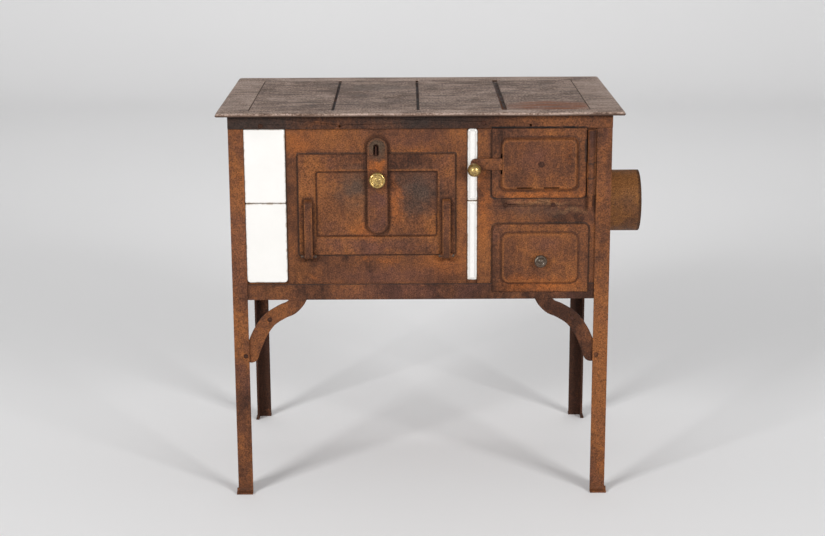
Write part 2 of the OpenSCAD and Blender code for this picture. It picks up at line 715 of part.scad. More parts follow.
// Lugs and pin on the floor of the door's sunk middle
module latch_strap_lugs() color(rust) placed() {
    for (side = [-1, 1]) along_x(strap_x + side * 9.5 - 2, strap_x + side * 9.5 + 2) {
        translate([strap_hinge_y, strap_hinge_z]) circle(1.8);
        translate([strap_hinge_y, strap_hinge_z - 1.8]) square([recess_y - strap_hinge_y, 3.6]);
    }
    rod_x(strap_hinge_y, strap_hinge_z, strap_pin_r, strap_x - 11.5, strap_x + 11.5);
}
// Button knob with a raised ring, riveted through the strap
module oven_knob() color(brass) placed()
    translate([strap_x, strap_y, knob_z]) rotate([90, 0, 0]) {
        translate([0, 0, -strap_t]) cylinder(r = 4, h = strap_t + 5);
        cylinder(r = 8, h = 6);
        translate([0, 0, 6]) rotate_extrude() polygon(concat(
            [[0, 0], [oven_knob_r - 4, 0]],
            arc([oven_knob_r - 5, 5], 5, -50, 100, 10),
            [[oven_knob_r - 8, 8.5], [3, 7], [0, 7]]));
    }
// Upright tongue on the front plate that the strap's slot drops over
module latch_tongue() color(nickel) placed() {
    block([slot_x - 1, y_door - 8, max(slot_z + 3.5, door_z1 + 1)],
          [slot_x + 1, y_skin, slot_z + slot_h - 3.5]);
    block([slot_x - 4, y_skin - 2, max(door_z1 + 1, slot_z + 5)],
          [slot_x + 4, y_skin, slot_z + slot_h - 1]);
}

// ---- fire door ----

// Pressed door sheet with a hollow raised middle, two air slots and the latch slot
module fire_door_panel() color(rust) placed() {
    p0 = [panel_x0, panel_z0];
    p1 = [panel_x1, panel_z1];
    difference() {
        union() {
            upright(y_door, y_door + door_t) rounded([fire_x0, fire_z0], [fire_x1, fire_z1], 7);
            upright(panel_y, y_door + door_t) rounded(p0, p1, 10);
        }
        upright(panel_y + door_t, y_door + door_t + 1)
            rounded(p0 + [door_t, door_t], p1 - [door_t, door_t], 8);
        block([panel_x0 - 1, panel_y + 1.2, lever_z - lever_h / 2 - 8],
              [panel_x0 + door_t + 3, y_door, lever_z + lever_h / 2 + 9]);
        for (x = [panel_x0 + 30, panel_x0 + 84])
            upright(panel_y - 1, panel_y + door_t + 1)
                rounded([x, panel_z0 + 4], [x + 32, panel_z0 + 8], 1.9);
        rod_y(lever_x, lever_z, lever_pin_r + fit, panel_y - 1, panel_y + door_t + 1);
    }
}
// Heat shield behind the door, on four posts, with the latch's pivot between it and the panel
module fire_door_baffle() color(soot) placed() {
    x0 = fire_x0 + fire_lap + 4;
    x1 = fire_x1 - 14;
    block([x0, baffle_y, fire_z0 + fire_lap + 4], [x1, baffle_y + 2, fire_z1 - 16]);
    for (x = [panel_x0 + 18, panel_x1 - 18], z = [panel_z0 + 17, panel_z1 - 14])
        rod_y(x, z, 3.5, panel_y + door_t, baffle_y);
    rod_y(lever_x, lever_z, lever_pin_r, panel_y, baffle_y);
    rod_y(lever_x, lever_z, lever_pin_r + 2, panel_y - 1.2, panel_y);
}

module knuckle(z0, z1) translate([hinge_x, hinge_y, z0]) cylinder(r = barrel_r, h = z1 - z0);
module pin_hole() translate([hinge_x, hinge_y, body_z]) cylinder(r = fire_pin_r + fit, h = z_under - body_z);

module fire_hinge_frame_leaf() color(rust) placed() difference() {
    leaf_x = x_post - gap;
    union() {
        for (z = [[knuckle_z0, knuckle_z1 - gap], [knuckle_z2 + gap, knuckle_z3]]) {
            knuckle(z[0], z[1]);
            block([hinge_x, hinge_y + 2, z[0]], [hinge_x + 4, y_skin, z[1]]);
            block([hinge_x, y_skin - 2, z[0]], [leaf_x, y_skin, z[1]]);
        }
        block([hinge_x + barrel_r + 1, y_skin - 2, knuckle_z1 - 1], [leaf_x, y_skin, knuckle_z2 + 1]);
    }
    pin_hole();
}
module fire_hinge_door_leaf() color(rust) placed() difference() {
    union() {
        knuckle(knuckle_z1, knuckle_z2);
        block([panel_x1 + 1.5, y_door + door_t, knuckle_z1], [hinge_x, hinge_y + barrel_r, knuckle_z2]);
    }
    pin_hole();
}
module fire_hinge_pin() color(nickel) placed() {
    translate([hinge_x, hinge_y, knuckle_z0 - 30]) cylinder(r = fire_pin_r + 1.5, h = 30);
    translate([hinge_x, hinge_y, knuckle_z0 - 1]) cylinder(r = fire_pin_r, h = knuckle_z3 + 2 - knuckle_z0);
}

// Latch bar with its ball handle, turning on the pivot behind the panel
module fire_latch_bar() color(brass) placed() {
    ball_z = lever_z - 9;
    difference() {
        upright(lever_y0, lever_y1) {
            translate([lever_x, lever_z]) circle(lever_h / 2);
            translate([ball_x, lever_z - lever_h / 2]) square([lever_x - ball_x, lever_h]);
            translate([ball_x, lever_z]) circle(lever_h / 2);
        }
        rod_y(lever_x, lever_z, lever_pin_r + fit, lever_y0 - 1, lever_y1 + 1);
    }
    difference() {
        translate([ball_x, ball_y, ball_z]) sphere(ball_r);
        block([ball_x - ball_r, lever_y0, ball_z - ball_r],
              [ball_x + ball_r, lever_y0 + ball_r, ball_z + ball_r]);
    }
}

// ---- fasteners ----

// Domed rivet along Y: its head stands in front of y0 and its shank reaches y1
module rivet(x, z, y0, y1) {
    rod_y(x, z, 3, y0, y1);
    intersection() {
        translate([x, y0 + 2.5, z]) sphere(r = 5.5);
        rod_y(x, z, 6, y0 - 4, y0);
    }
}
module rivets() color(rust) placed() {
    for (p = frieze_rivets) rivet(p[0], p[1], -frieze_t, 0);
    for (p = band_rivets) rivet(p[0], p[1], y_skin, y_inner);
    for (side = [-1, 1]) {
        rivet(side * -bracket_rivet[0], bracket_rivet[1], 0, y_skin + bracket_t);
        rivet(side * -bracket_stud[0], bracket_stud[1], y_skin, y_skin + bracket_t);
    }
}

post_front_left();
post_front_right();
post_rear_left();
post_rear_right();
bracket_left();
bracket_right();
front_frieze();
lower_front_rail();
side_panel_left();
side_panel_right();
back_panel();
bottom_panel();
oven_front_plate();
fire_front_plate();
tile_backing();
tile_wide_upper();
tile_wide_lower();
tile_narrow_upper();
tile_narrow_lower();
top_frame();
cover_plate_1();
cover_plate_2();
cover_plate_3();
cover_plate_4();
cover_bars();
upper_side_rails();
upper_rear_rail();
oven_box();
shelf_runners();
oven_shelf();
firebox_divider();
firebox_back();
smoke_chamber_lid();
grate_frame();
grate();
fire_brick_left();
fire_brick_right();
fire_brick_back();
flue_collar();
flue_stub();
ash_drawer_front();
ash_pan();
ash_drawer_knob();
drawer_guides();
oven_door_panel();
oven_door_liner();
oven_hinge_bars();
oven_hinge_pins();
oven_hinge_ears();
latch_strap();
latch_strap_lugs();
oven_knob();
latch_tongue();
fire_door_panel();
fire_door_baffle();
fire_hinge_frame_leaf();
fire_hinge_door_leaf();
fire_hinge_pin();
fire_latch_bar();
rivets();
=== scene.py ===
"""Wood burning kitchen stove: looks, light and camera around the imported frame."""
import math

import bmesh
import bpy
from mathutils import Matrix, Vector, noise


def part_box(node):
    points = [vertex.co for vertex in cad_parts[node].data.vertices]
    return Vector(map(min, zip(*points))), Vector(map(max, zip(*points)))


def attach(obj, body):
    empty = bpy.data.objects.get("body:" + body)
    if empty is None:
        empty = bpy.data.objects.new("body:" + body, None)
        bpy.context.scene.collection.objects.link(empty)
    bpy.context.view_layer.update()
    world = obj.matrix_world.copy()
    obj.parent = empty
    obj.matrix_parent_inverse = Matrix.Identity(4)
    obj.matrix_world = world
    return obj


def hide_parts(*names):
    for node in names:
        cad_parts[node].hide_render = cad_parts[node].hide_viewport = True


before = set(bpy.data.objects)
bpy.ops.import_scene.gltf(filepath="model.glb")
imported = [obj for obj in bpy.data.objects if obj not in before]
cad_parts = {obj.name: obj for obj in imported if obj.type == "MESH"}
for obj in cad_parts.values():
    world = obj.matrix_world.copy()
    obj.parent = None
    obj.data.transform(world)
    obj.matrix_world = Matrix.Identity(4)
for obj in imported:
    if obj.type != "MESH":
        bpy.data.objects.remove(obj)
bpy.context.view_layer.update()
MM = 0.001

# The stove's own layout: X from the middle of the front, Y back from the posts, Z up from the floor
frieze_low, frieze_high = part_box("front_frieze")
FRIEZE_T = 3.0
MID_X = (frieze_low.x + frieze_high.x) / 2
POST_Y = frieze_low.y + FRIEZE_T * MM
LATCH_BAR_H = 23
HINGE_BAR_W = 15.6


def at(x, y, z):
    """A point given in millimetres of the stove's own layout."""
    return Vector((MID_X + x * MM, POST_Y + y * MM, z * MM))


# ---- camera, light and floor ----

def add_camera():
    """A long lens a little above the top, looking slightly down; angles in degrees."""
    lens, pitch, yaw, roll = 74.7, 14.186, -0.098, -0.267
    data = bpy.data.cameras.new("camera")
    data.sensor_width = 36.0
    data.lens = lens
    camera = bpy.data.objects.new("camera", data)
    bpy.context.scene.collection.objects.link(camera)
    camera.location = at(-22.2, -3341.3, 1325.6)
    turn = Matrix.Rotation(math.radians(yaw), 3, "Z") @ Matrix.Rotation(math.radians(90 - pitch), 3, "X")
    camera.rotation_euler = (turn @ Matrix.Rotation(math.radians(roll), 3, "Z")).to_euler()
    bpy.context.scene.camera = camera


def add_area(name, place, target, size, power):
    """A square soft light that faces a target point."""
    data = bpy.data.lights.new(name, "AREA")
    data.shape = "SQUARE"
    data.size = size
    data.energy = power
    light = bpy.data.objects.new(name, data)
    bpy.context.scene.collection.objects.link(light)
    light.location = place
    light.rotation_euler = (target - place).to_track_quat("-Z", "Y").to_euler()


def add_stage():
    """A pale floor that bends up into a backdrop far behind."""
    front, depth, half, bend, height, steps = -6.0, 5.0, 9.0, 2.0, 6.0, 16
    profile = [(front, 0.0), (depth, 0.0)]
    for i in range(1, steps + 1):
        angle = math.pi / 2 * i / steps
        profile.append((depth + bend * math.sin(angle), bend * (1 - math.cos(angle))))
    profile.append((depth + bend, height))
    mesh = bpy.data.meshes.new("floor")
    verts = [(x, y, z) for y, z in profile for x in (-half, half)]
    faces = [(2 * i, 2 * i + 1, 2 * i + 3, 2 * i + 2) for i in range(len(profile) - 1)]
    mesh.from_pydata(verts, [], faces)
    for face in mesh.polygons:
        face.use_smooth = True
    floor = bpy.data.objects.new("floor", mesh)
    bpy.context.scene.collection.objects.link(floor)
    mesh.materials.append(paper())


def add_world():
    """Even light from all round."""
    world = bpy.data.worlds.new("studio")
    world.use_nodes = True
    background = world.node_tree.nodes["Background"]
    background.inputs["Color"].default_value = (1.0, 1.0, 1.0, 1.0)
    background.inputs["Strength"].default_value = 0.28
    bpy.context.scene.world = world


# ---- material helpers ----

class Shader:
    """Builds a node material: every method returns an output socket."""

    def __init__(self, name):
        self.material = bpy.data.materials.new(name)
        self.material.use_nodes = True
        self.tree = self.material.node_tree
        self.bsdf = self.tree.nodes["Principled BSDF"]
        self.where = self.tree.nodes.new("ShaderNodeTexCoord").outputs["Object"]

    def link(self, value, socket):
        if isinstance(value, bpy.types.NodeSocket):
            self.tree.links.new(value, socket)
        elif value is not None:
            if socket.type == "RGBA" and len(value) == 3:
                value = (*value, 1.0)
            socket.default_value = value

    def node(self, kind, **values):
        made = self.tree.nodes.new(kind)
        for key, value in values.items():
            setattr(made, key, value)
        return made

    def noise(self, scale, detail=4.0, rough=0.6, distort=0.0, where=None, colour=False):
        made = self.node("ShaderNodeTexNoise")
        made.inputs["Scale"].default_value = scale
        made.inputs["Detail"].default_value = detail
        made.inputs["Roughness"].default_value = rough
        made.inputs["Distortion"].default_value = distort
        self.link(where or self.where, made.inputs["Vector"])
        return made.outputs["Color" if colour else "Fac"]

    def cells(self, scale, where=None):
        made = self.node("ShaderNodeTexVoronoi")
        made.inputs["Scale"].default_value = scale
        self.link(where or self.where, made.inputs["Vector"])
        return made.outputs["Distance"]

    def math(self, operation, a, b=None, c=None):
        made = self.node("ShaderNodeMath", operation=operation)
        for value, socket in zip((a, b, c), made.inputs):
            self.link(value, socket)
        return made.outputs["Value"]

    def vector(self, operation, a, b=None, scale=None):
        made = self.node("ShaderNodeVectorMath", operation=operation)
        self.link(a, made.inputs[0])
        self.link(b, made.inputs[1])
        if scale is not None:
            self.link(scale, made.inputs["Scale"])
        return made.outputs["Value" if operation in ("LENGTH", "DISTANCE") else "Vector"]

    def span(self, value, low, high, out_low=0.0, out_high=1.0, smooth=True):
        made = self.node("ShaderNodeMapRange")
        made.interpolation_type = "SMOOTHSTEP" if smooth else "LINEAR"
        for key, part in (("Value", value), ("From Min", low), ("From Max", high),
                          ("To Min", out_low), ("To Max", out_high)):
            self.link(part, made.inputs[key])
        return made.outputs["Result"]

    def ramp(self, value, stops):
        made = self.node("ShaderNodeValToRGB")
        ramp = made.color_ramp
        while len(ramp.elements) < len(stops):
            ramp.elements.new(0.5)
        for element, (place, colour) in zip(ramp.elements, stops):
            element.position = place
            element.color = (*colour, 1.0)
        self.link(value, made.inputs["Fac"])
        return made.outputs["Color"]

    def mix(self, factor, a, b, blend="MIX"):
        made = self.node("ShaderNodeMix", data_type="RGBA", blend_type=blend)
        self.link(factor, made.inputs["Factor"])
        self.link(a, made.inputs[6])
        self.link(b, made.inputs[7])
        return made.outputs[2]

    def blot(self, centre, radii, edge=0.5, wobble=0.035, scale=22.0):
        """A soft ragged patch round a point, 1 in its middle and 0 outside."""
        drift = self.vector("SUBTRACT", self.noise(scale, 5.0, 0.7, colour=True), (0.5, 0.5, 0.5))
        moved = self.vector("ADD", self.where, self.vector("SCALE", drift, scale=wobble * 2))
        offset = self.vector("DIVIDE", self.vector("SUBTRACT", moved, tuple(centre)), radii)
        return self.span(self.vector("LENGTH", offset), 1.0, edge, 0.0, 1.0)

    def frame(self, low, high, corner, width, jitter=None):
        """A line round a rounded X-Z rectangle; a negative width fills it instead."""
        parts = self.node("ShaderNodeSeparateXYZ")
        self.link(self.where, parts.inputs[0])
        q = []
        for axis, i in (("X", 0), ("Z", 2)):
            middle, half = (low[i] + high[i]) / 2, (high[i] - low[i]) / 2 - corner
            away = self.math("ABSOLUTE", self.math("SUBTRACT", parts.outputs[axis], middle))
            q.append(self.math("SUBTRACT", away, half))
        outer = [self.math("MAXIMUM", v, 0.0) for v in q]
        square = self.math("MULTIPLY", outer[1], outer[1])
        far = self.math("SQRT", self.math("MULTIPLY_ADD", outer[0], outer[0], square))
        inner = self.math("MINIMUM", self.math("MAXIMUM", q[0], q[1]), 0.0)
        distance = self.math("SUBTRACT", self.math("ADD", far, inner), corner)
        if jitter is not None:
            distance = self.math("ADD", distance, self.math("MULTIPLY_ADD", jitter, 0.003, -0.0015))
        if width > 0:
            distance = self.math("ABSOLUTE", distance)
        return self.span(distance, abs(width), 0.0 if width > 0 else 0.15 * width)

    def finish(self, colour, roughness, height=None, bump_distance=0.0006, bump_strength=0.6):
        self.link(colour, self.bsdf.inputs["Base Color"])
        self.link(roughness, self.bsdf.inputs["Roughness"])
        if height is not None:
            bump = self.node("ShaderNodeBump")
            bump.inputs["Strength"].default_value = bump_strength
            bump.inputs["Distance"].default_value = bump_distance
            self.link(height, bump.inputs["Height"])
            self.link(bump.outputs["Normal"], self.bsdf.inputs["Normal"])
        return self.material


def paper():
    """Pale seamless paper."""
    s = Shader("paper")
    tone = s.noise(0.6, 2.0, 0.4)
    colour = s.ramp(tone, [(0.3, (0.835, 0.832, 0.836)), (0.7, (0.855, 0.852, 0.855))])
    s.bsdf.inputs["Specular IOR Level"].default_value = 0.1
    return s.finish(colour, 0.9)


# Colours of the iron, as linear red, green and blue
UMBER = (0.038, 0.0150, 0.0080)
BROWN = (0.088, 0.0345, 0.0165)
PLUM = (0.088, 0.0375, 0.0300)
RUSSET = (0.122, 0.0460, 0.0185)
OCHRE = (0.180, 0.0680, 0.0220)
ORANGE = (0.285, 0.0870, 0.0180)
SAND = (0.340, 0.195, 0.095)
# Near black: soot on the frieze, and painted shade in gaps, slots and along edges elsewhere
SOOT_AND_SHADE = (0.024, 0.0185, 0.0165)
SLATE = (0.046, 0.0365, 0.0310)
MOSS = (0.070, 0.0500, 0.0330)


def iron(name, seed, blots=(), lines=(), dark=0.0, orange=0.5, purple=0.35, grain=1.0,
         tint=(1.0, 0.935, 0.88)):
    """Rusted, waxed sheet iron: soft browns with streaks, grain, pits, specks, placed patches and lines.

    A blot is (centre, radii, colour, strength); a line is (low, high, corner, width, colour, strength). Most
    lines are painted shade in gaps and at the foot of steps, and paler rim lines that are painted highlight
    and rubbed wear together.
    """
    s = Shader(name)
    here = s.vector("ADD", s.where, (seed * 1.37, seed * 0.71, seed * 2.13))
    broad = s.noise(6.5, 4.0, 0.55, 0.3, here)
    cloud = s.noise(30.0, 7.0, 0.62, 0.25, here)
    fine = s.noise(130.0, 6.0, 0.72, 0.0, here)
    grit = s.noise(390.0, 4.0, 0.75, 0.0, here)
    streak = s.noise(110.0, 5.0, 0.6, 0.0, s.vector("MULTIPLY", here, (1.0, 1.0, 0.16)))
    tone = s.math("ADD", s.math("MULTIPLY_ADD", broad, 1.15, -0.565), s.math("MULTIPLY", cloud, 0.50))
    tone = s.math("ADD", tone, s.math("MULTIPLY_ADD", s.noise(3.4, 3.0, 0.5, 0.6, here), 0.85, -0.185))
    drip = s.noise(42.0, 5.0, 0.6, 0.2, s.vector("MULTIPLY", here, (1.0, 1.0, 0.30)))
    tone = s.math("ADD", tone, s.math("MULTIPLY", s.math("SUBTRACT", drip, 0.5), 0.40))
    tone = s.math("ADD", tone, s.math("MULTIPLY", s.math("SUBTRACT", streak, 0.5), 0.30))
    tone = s.math("ADD", tone, s.math("MULTIPLY", s.math("SUBTRACT", fine, 0.5), 0.25))
    colour = s.ramp(s.math("SUBTRACT", tone, dark), [
        (0.26, UMBER), (0.42, BROWN), (0.54, RUSSET), (0.70, OCHRE)])
    rusty = s.span(s.noise(15.0, 6.0, 0.66, 0.4, here), 0.66 - 0.20 * orange, 0.86 - 0.14 * orange)
    colour = s.mix(s.math("MULTIPLY", rusty, 0.7), colour, ORANGE)
    violet = s.math("MULTIPLY", s.span(s.noise(9.0, 5.0, 0.6, 0.5, here), 0.50, 0.68), purple)
    colour = s.mix(violet, colour, PLUM)
    for centre, radii, shade, strength in blots:
        mask = s.blot(centre, radii, 0.1)
        mask = s.math("MULTIPLY", mask, s.span(cloud, 0.30, 0.62, 0.5, 1.0))
        colour = s.mix(s.math("MULTIPLY", mask, strength), colour, shade)
    for low, high, corner, width, shade, strength in lines:
        mask = s.frame(low, high, corner, width, fine)
        mask = s.math("MULTIPLY", mask, s.span(cloud, 0.32, 0.55, 0.55, 1.0))
        colour = s.mix(s.math("MULTIPLY", mask, strength), colour, shade)
    value = s.math("MULTIPLY_ADD", fine, 1.15, 0.385)
    value = s.math("MULTIPLY", value, s.math("MULTIPLY_ADD", grit, 3.9, -0.97))
    value = s.math("MAXIMUM", value, 0.18)
    colour = s.mix(1.0, colour, value, "MULTIPLY")
    colour = s.mix(1.0, colour, tint, "MULTIPLY")
    specks = s.span(s.noise(430.0, 2.0, 0.5, 0.0, here), 0.72, 0.78)
    specks = s.math("MULTIPLY", specks, s.span(cloud, 0.40, 0.60))
    colour = s.mix(s.math("MULTIPLY", specks, 0.6), colour, SAND)
    pits = s.math("MULTIPLY", s.span(s.cells(260.0, here), 0.16, 0.05), s.span(cloud, 0.45, 0.62))
    colour = s.mix(s.math("MULTIPLY", pits, 0.6), colour, UMBER)
    roughness = s.span(s.math("ADD", s.math("MULTIPLY", cloud, 0.6), s.math("MULTIPLY", fine, 0.4)),
                       0.35, 0.65, 0.50, 0.78)
    height = s.math("ADD", s.math("MULTIPLY", cloud, 1.2), s.math("MULTIPLY", fine, 0.7))
    height = s.math("ADD", height, s.math("MULTIPLY", grit, 0.25 * grain))
    height = s.math("SUBTRACT", height, s.math("MULTIPLY", pits, 0.35))
    s.bsdf.inputs["Specular IOR Level"].default_value = 0.16
    return s.finish(colour, roughness, height, 0.0011, 0.7)


def worn_top(name, seed, light=0.0, blots=()):
    """Grey-brown cooking surface, rubbed and streaked from side to side."""
    s = Shader(name)
    here = s.vector("ADD", s.where, (seed * 0.93, seed * 1.91, 0.0))
    along = s.vector("MULTIPLY", here, (0.22, 1.0, 1.0))
    broad = s.noise(11.0, 5.0, 0.6, 0.4, here)
    streak = s.noise(60.0, 6.0, 0.65, 0.0, along)
    fine = s.noise(260.0, 6.0, 0.7, 0.0, here)
    grit = s.noise(420.0, 3.0, 0.6, 0.0, here)
    tone = s.math("ADD", s.math("MULTIPLY", broad, 0.40), s.math("MULTIPLY", streak, 0.60))
    tone = s.math("ADD", tone, s.math("MULTIPLY", s.math("SUBTRACT", fine, 0.5), 0.7))
    tone = s.math("MULTIPLY_ADD", tone, 1.9, light - 0.45)
    colour = s.ramp(tone, [
        (0.30, (0.075, 0.045, 0.033)), (0.44, (0.180, 0.117, 0.088)),
        (0.56, (0.270, 0.190, 0.150)), (0.72, (0.420, 0.315, 0.262))])
    for centre, radii, shade, strength in blots:
        mask = s.math("MULTIPLY", s.blot(centre, radii), s.span(streak, 0.35, 0.6, 0.35, 1.0))
        colour = s.mix(s.math("MULTIPLY", mask, strength), colour, shade)
    value = s.math("MULTIPLY_ADD", fine, 1.6, 0.2)
    colour = s.mix(1.0, colour, s.math("MULTIPLY", value, s.math("MULTIPLY_ADD", grit, 1.6, 0.2)), "MULTIPLY")
    scratch = s.span(s.noise(75.0, 2.0, 0.5, 0.0, s.vector("MULTIPLY", here, (0.1, 4.0, 1.0))), 0.60, 0.68)
    colour = s.mix(s.math("MULTIPLY", scratch, 0.35), colour, (0.08, 0.055, 0.045))
    roughness = s.span(streak, 0.3, 0.7, 0.50, 0.75)
    height = s.math("ADD", s.math("MULTIPLY", streak, 0.6), s.math("MULTIPLY", fine, 0.4))
    height = s.math("ADD", height, s.math("MULTIPLY", grit, 0.15))
    # Faces that turn away from straight up get a darker brown
    facing = s.node("ShaderNodeSeparateXYZ")
    s.link(s.node("ShaderNodeNewGeometry").outputs["True Normal"], facing.inputs[0])
    colour = s.mix(s.span(facing.outputs["Z"], 0.75, 0.1), colour, (0.060, 0.034, 0.024))
    s.bsdf.inputs["Specular IOR Level"].default_value = 0.12
    return s.finish(colour, roughness, height, 0.0010, 0.6)


def glaze(name, borders=()):
    """Bright white glazed tile with a faint ripple, slightly grubby at the edges."""
    s = Shader(name)
    ripple = s.noise(30.0, 3.0, 0.5)
    colour = s.ramp(s.noise(14.0, 5.0, 0.6), [(0.3, (0.610, 0.595, 0.572)), (0.7, (0.640, 0.628, 0.606))])
    specks = s.span(s.noise(330.0, 2.0, 0.5), 0.78, 0.83)
    colour = s.mix(s.math("MULTIPLY", specks, 0.35), colour, (0.45, 0.36, 0.27))
    grime = s.noise(60.0, 6.0, 0.7)
    for low, high in borders:
        edge = s.math("MULTIPLY", s.frame(low, high, 0.003, 0.0032, grime),
                      s.span(grime, 0.42, 0.62, 0.15, 0.9))
        colour = s.mix(edge, colour, (0.30, 0.22, 0.15))
    s.bsdf.inputs["Specular IOR Level"].default_value = 0.4
    return s.finish(colour, s.span(ripple, 0.3, 0.7, 0.10, 0.20), ripple, 0.0006, 0.25)


def metal(name, bright, dull, rough, seed=0.0, worn_from=0.40):
    """Worn bare metal: bright where it is rubbed, dull brown where it isn't."""
    s = Shader(name)
    here = s.vector("ADD", s.where, (seed, seed, seed))
    worn = s.noise(160.0, 6.0, 0.65, 0.0, here)
    fine = s.noise(500.0, 4.0, 0.6, 0.0, here)
    mask = s.math("ADD", s.math("MULTIPLY", worn, 0.6), s.math("MULTIPLY", fine, 0.4))
    mask = s.span(mask, worn_from, worn_from + 0.18)
    colour = s.mix(mask, dull, bright)
    s.link(s.span(mask, 0.0, 1.0, 0.55, 1.0, False), s.bsdf.inputs["Metallic"])
    return s.finish(colour, s.span(mask, 0.0, 1.0, rough[1], rough[0], False), fine, 0.0003, 0.3)


def brick():
    """Rough fired clay with sooty stains."""
    s = Shader("fire_brick")
    broad = s.noise(14.0, 5.0, 0.6)
    fine = s.noise(300.0, 5.0, 0.7)
    colour = s.ramp(s.math("ADD", s.math("MULTIPLY", broad, 0.6), s.math("MULTIPLY", fine, 0.4)),
                    [(0.35, (0.10, 0.07, 0.05)), (0.5, (0.33, 0.22, 0.14)), (0.65, (0.46, 0.34, 0.23))])
    return s.finish(colour, 0.9, fine, 0.0012, 0.7)


# ---- mesh helpers ----

def add_mesh(name, verts, faces, material, body, smooth=True):
    """Links a mesh piece, with its material, slot and body."""
    mesh = bpy.data.meshes.new(name)
    mesh.from_pydata([tuple(v) for v in verts], [], faces)
    mesh.validate()
    mesh.update()
    for face in mesh.polygons:
        face.use_smooth = smooth
    piece = bpy.data.objects.new(name, mesh)
    bpy.context.scene.collection.objects.link(piece)
    mesh.materials.append(material)
    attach(piece, body)
    return piece


def apply_modifiers(piece):
    """Turns the modified shape into the piece's own mesh."""
    graph = bpy.context.evaluated_depsgraph_get()
    mesh = bpy.data.meshes.new_from_object(piece.evaluated_get(graph))
    piece.modifiers.clear()
    piece.data = mesh


def shade_by_angle(piece, degrees=35.0):
    """Smooth faces, with edges kept sharp where they turn more than the angle."""
    mesh = piece.data
    work = bmesh.new()
    work.from_mesh(mesh)
    bmesh.ops.recalc_face_normals(work, faces=work.faces)
    limit = math.radians(degrees)
    for edge in work.edges:
        edge.smooth = len(edge.link_faces) == 2 and edge.calc_face_angle(0.0) < limit
    work.to_mesh(mesh)
    work.free()


def carve(piece, cutters):
    """Cuts boxes, given by two corners, out of a piece."""
    for low, high in cutters:
        work = bmesh.new()
        bmesh.ops.create_cube(work, size=1.0)
        for vert in work.verts:
            vert.co = Vector(((low[i] + high[i]) / 2 + vert.co[i] * (high[i] - low[i]) for i in range(3)))
        mesh = bpy.data.meshes.new("cutter")
        work.to_mesh(mesh)
        work.free()
        cutter = bpy.data.objects.new("cutter", mesh)
        bpy.context.scene.collection.objects.link(cutter)
        cut = piece.modifiers.new("cut", "BOOLEAN")
        cut.operation = "DIFFERENCE"
        cut.solver = "EXACT"
        cut.object = cutter
        apply_modifiers(piece)
        bpy.data.objects.remove(cutter)


def ring(x0, x1, z0, z1, radius, y, steps=8):
    """A rounded rectangle as a closed loop of points at depth y; radius may be one per corner."""
    radii = radius if isinstance(radius, (list, tuple)) else [radius] * 4
    corners = [(x1, z0, 1, -1, -90), (x1, z1, 1, 1, 0), (x0, z1, -1, 1, 90), (x0, z0, -1, -1, 180)]
    points = []
    for (cx, cz, sx, sz, start), r in zip(corners, radii):
        for i in range(steps + 1):
            angle = math.radians(start + 90 * i / steps)
            points.append(Vector((cx - sx * r + r * math.cos(angle), y, cz - sz * r + r * math.sin(angle))))
    return points


def loft(rings):
    """Vertices and faces that join rings of the same length, with both ends closed."""
    count = len(rings[0])
    verts = [p for points in rings for p in points]
    faces = []
    for level in range(len(rings) - 1):
        for i in range(count):
            j = (i + 1) % count
            a, b = level * count, (level + 1) * count
            faces.append((a + i, a + j, b + j, b + i))
    faces.append(tuple(reversed(range(count))))
    last = (len(rings) - 1) * count
    faces.append(tuple(range(last, last + count)))
    return verts, faces


def spin(profile, centre, segments=48):
    """Turns (radius, depth) points round an axis along -Y through a centre."""
    rings = []
    for radius, depth in profile:
        turns = [2 * math.pi * k / segments for k in range(segments)]
        y = centre.y - depth
        rings.append([Vector((centre.x + radius * math.cos(t), y, centre.z + radius * math.sin(t)))
                      for t in turns])
    return loft(rings)


def soften(node):
    """Rounds the hard edges of a CAD node that stays in view."""
    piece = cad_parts[node]
    weld = piece.modifiers.new("weld", "WELD")
    weld.merge_threshold = 0.02 * MM
    bevel = piece.modifiers.new("bevel", "BEVEL")
    bevel.width = 0.6 * MM
    bevel.segments = 2
    bevel.limit_method = "ANGLE"
    bevel.angle_limit = math.radians(38)


def paint(material, *nodes):
    """Gives CAD nodes a material."""
    for name in nodes:
        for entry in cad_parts[name].material_slots:
            entry.link = "OBJECT"
            entry.material = material


# ---- pieces that replace plain CAD nodes ----

def wobble(point, scale, amount, seed=0.0):
    """A small smooth shift for hand-worked sheet metal."""
    return noise.noise(Vector((point.x * scale + seed, point.y * scale, point.z * scale))) * amount


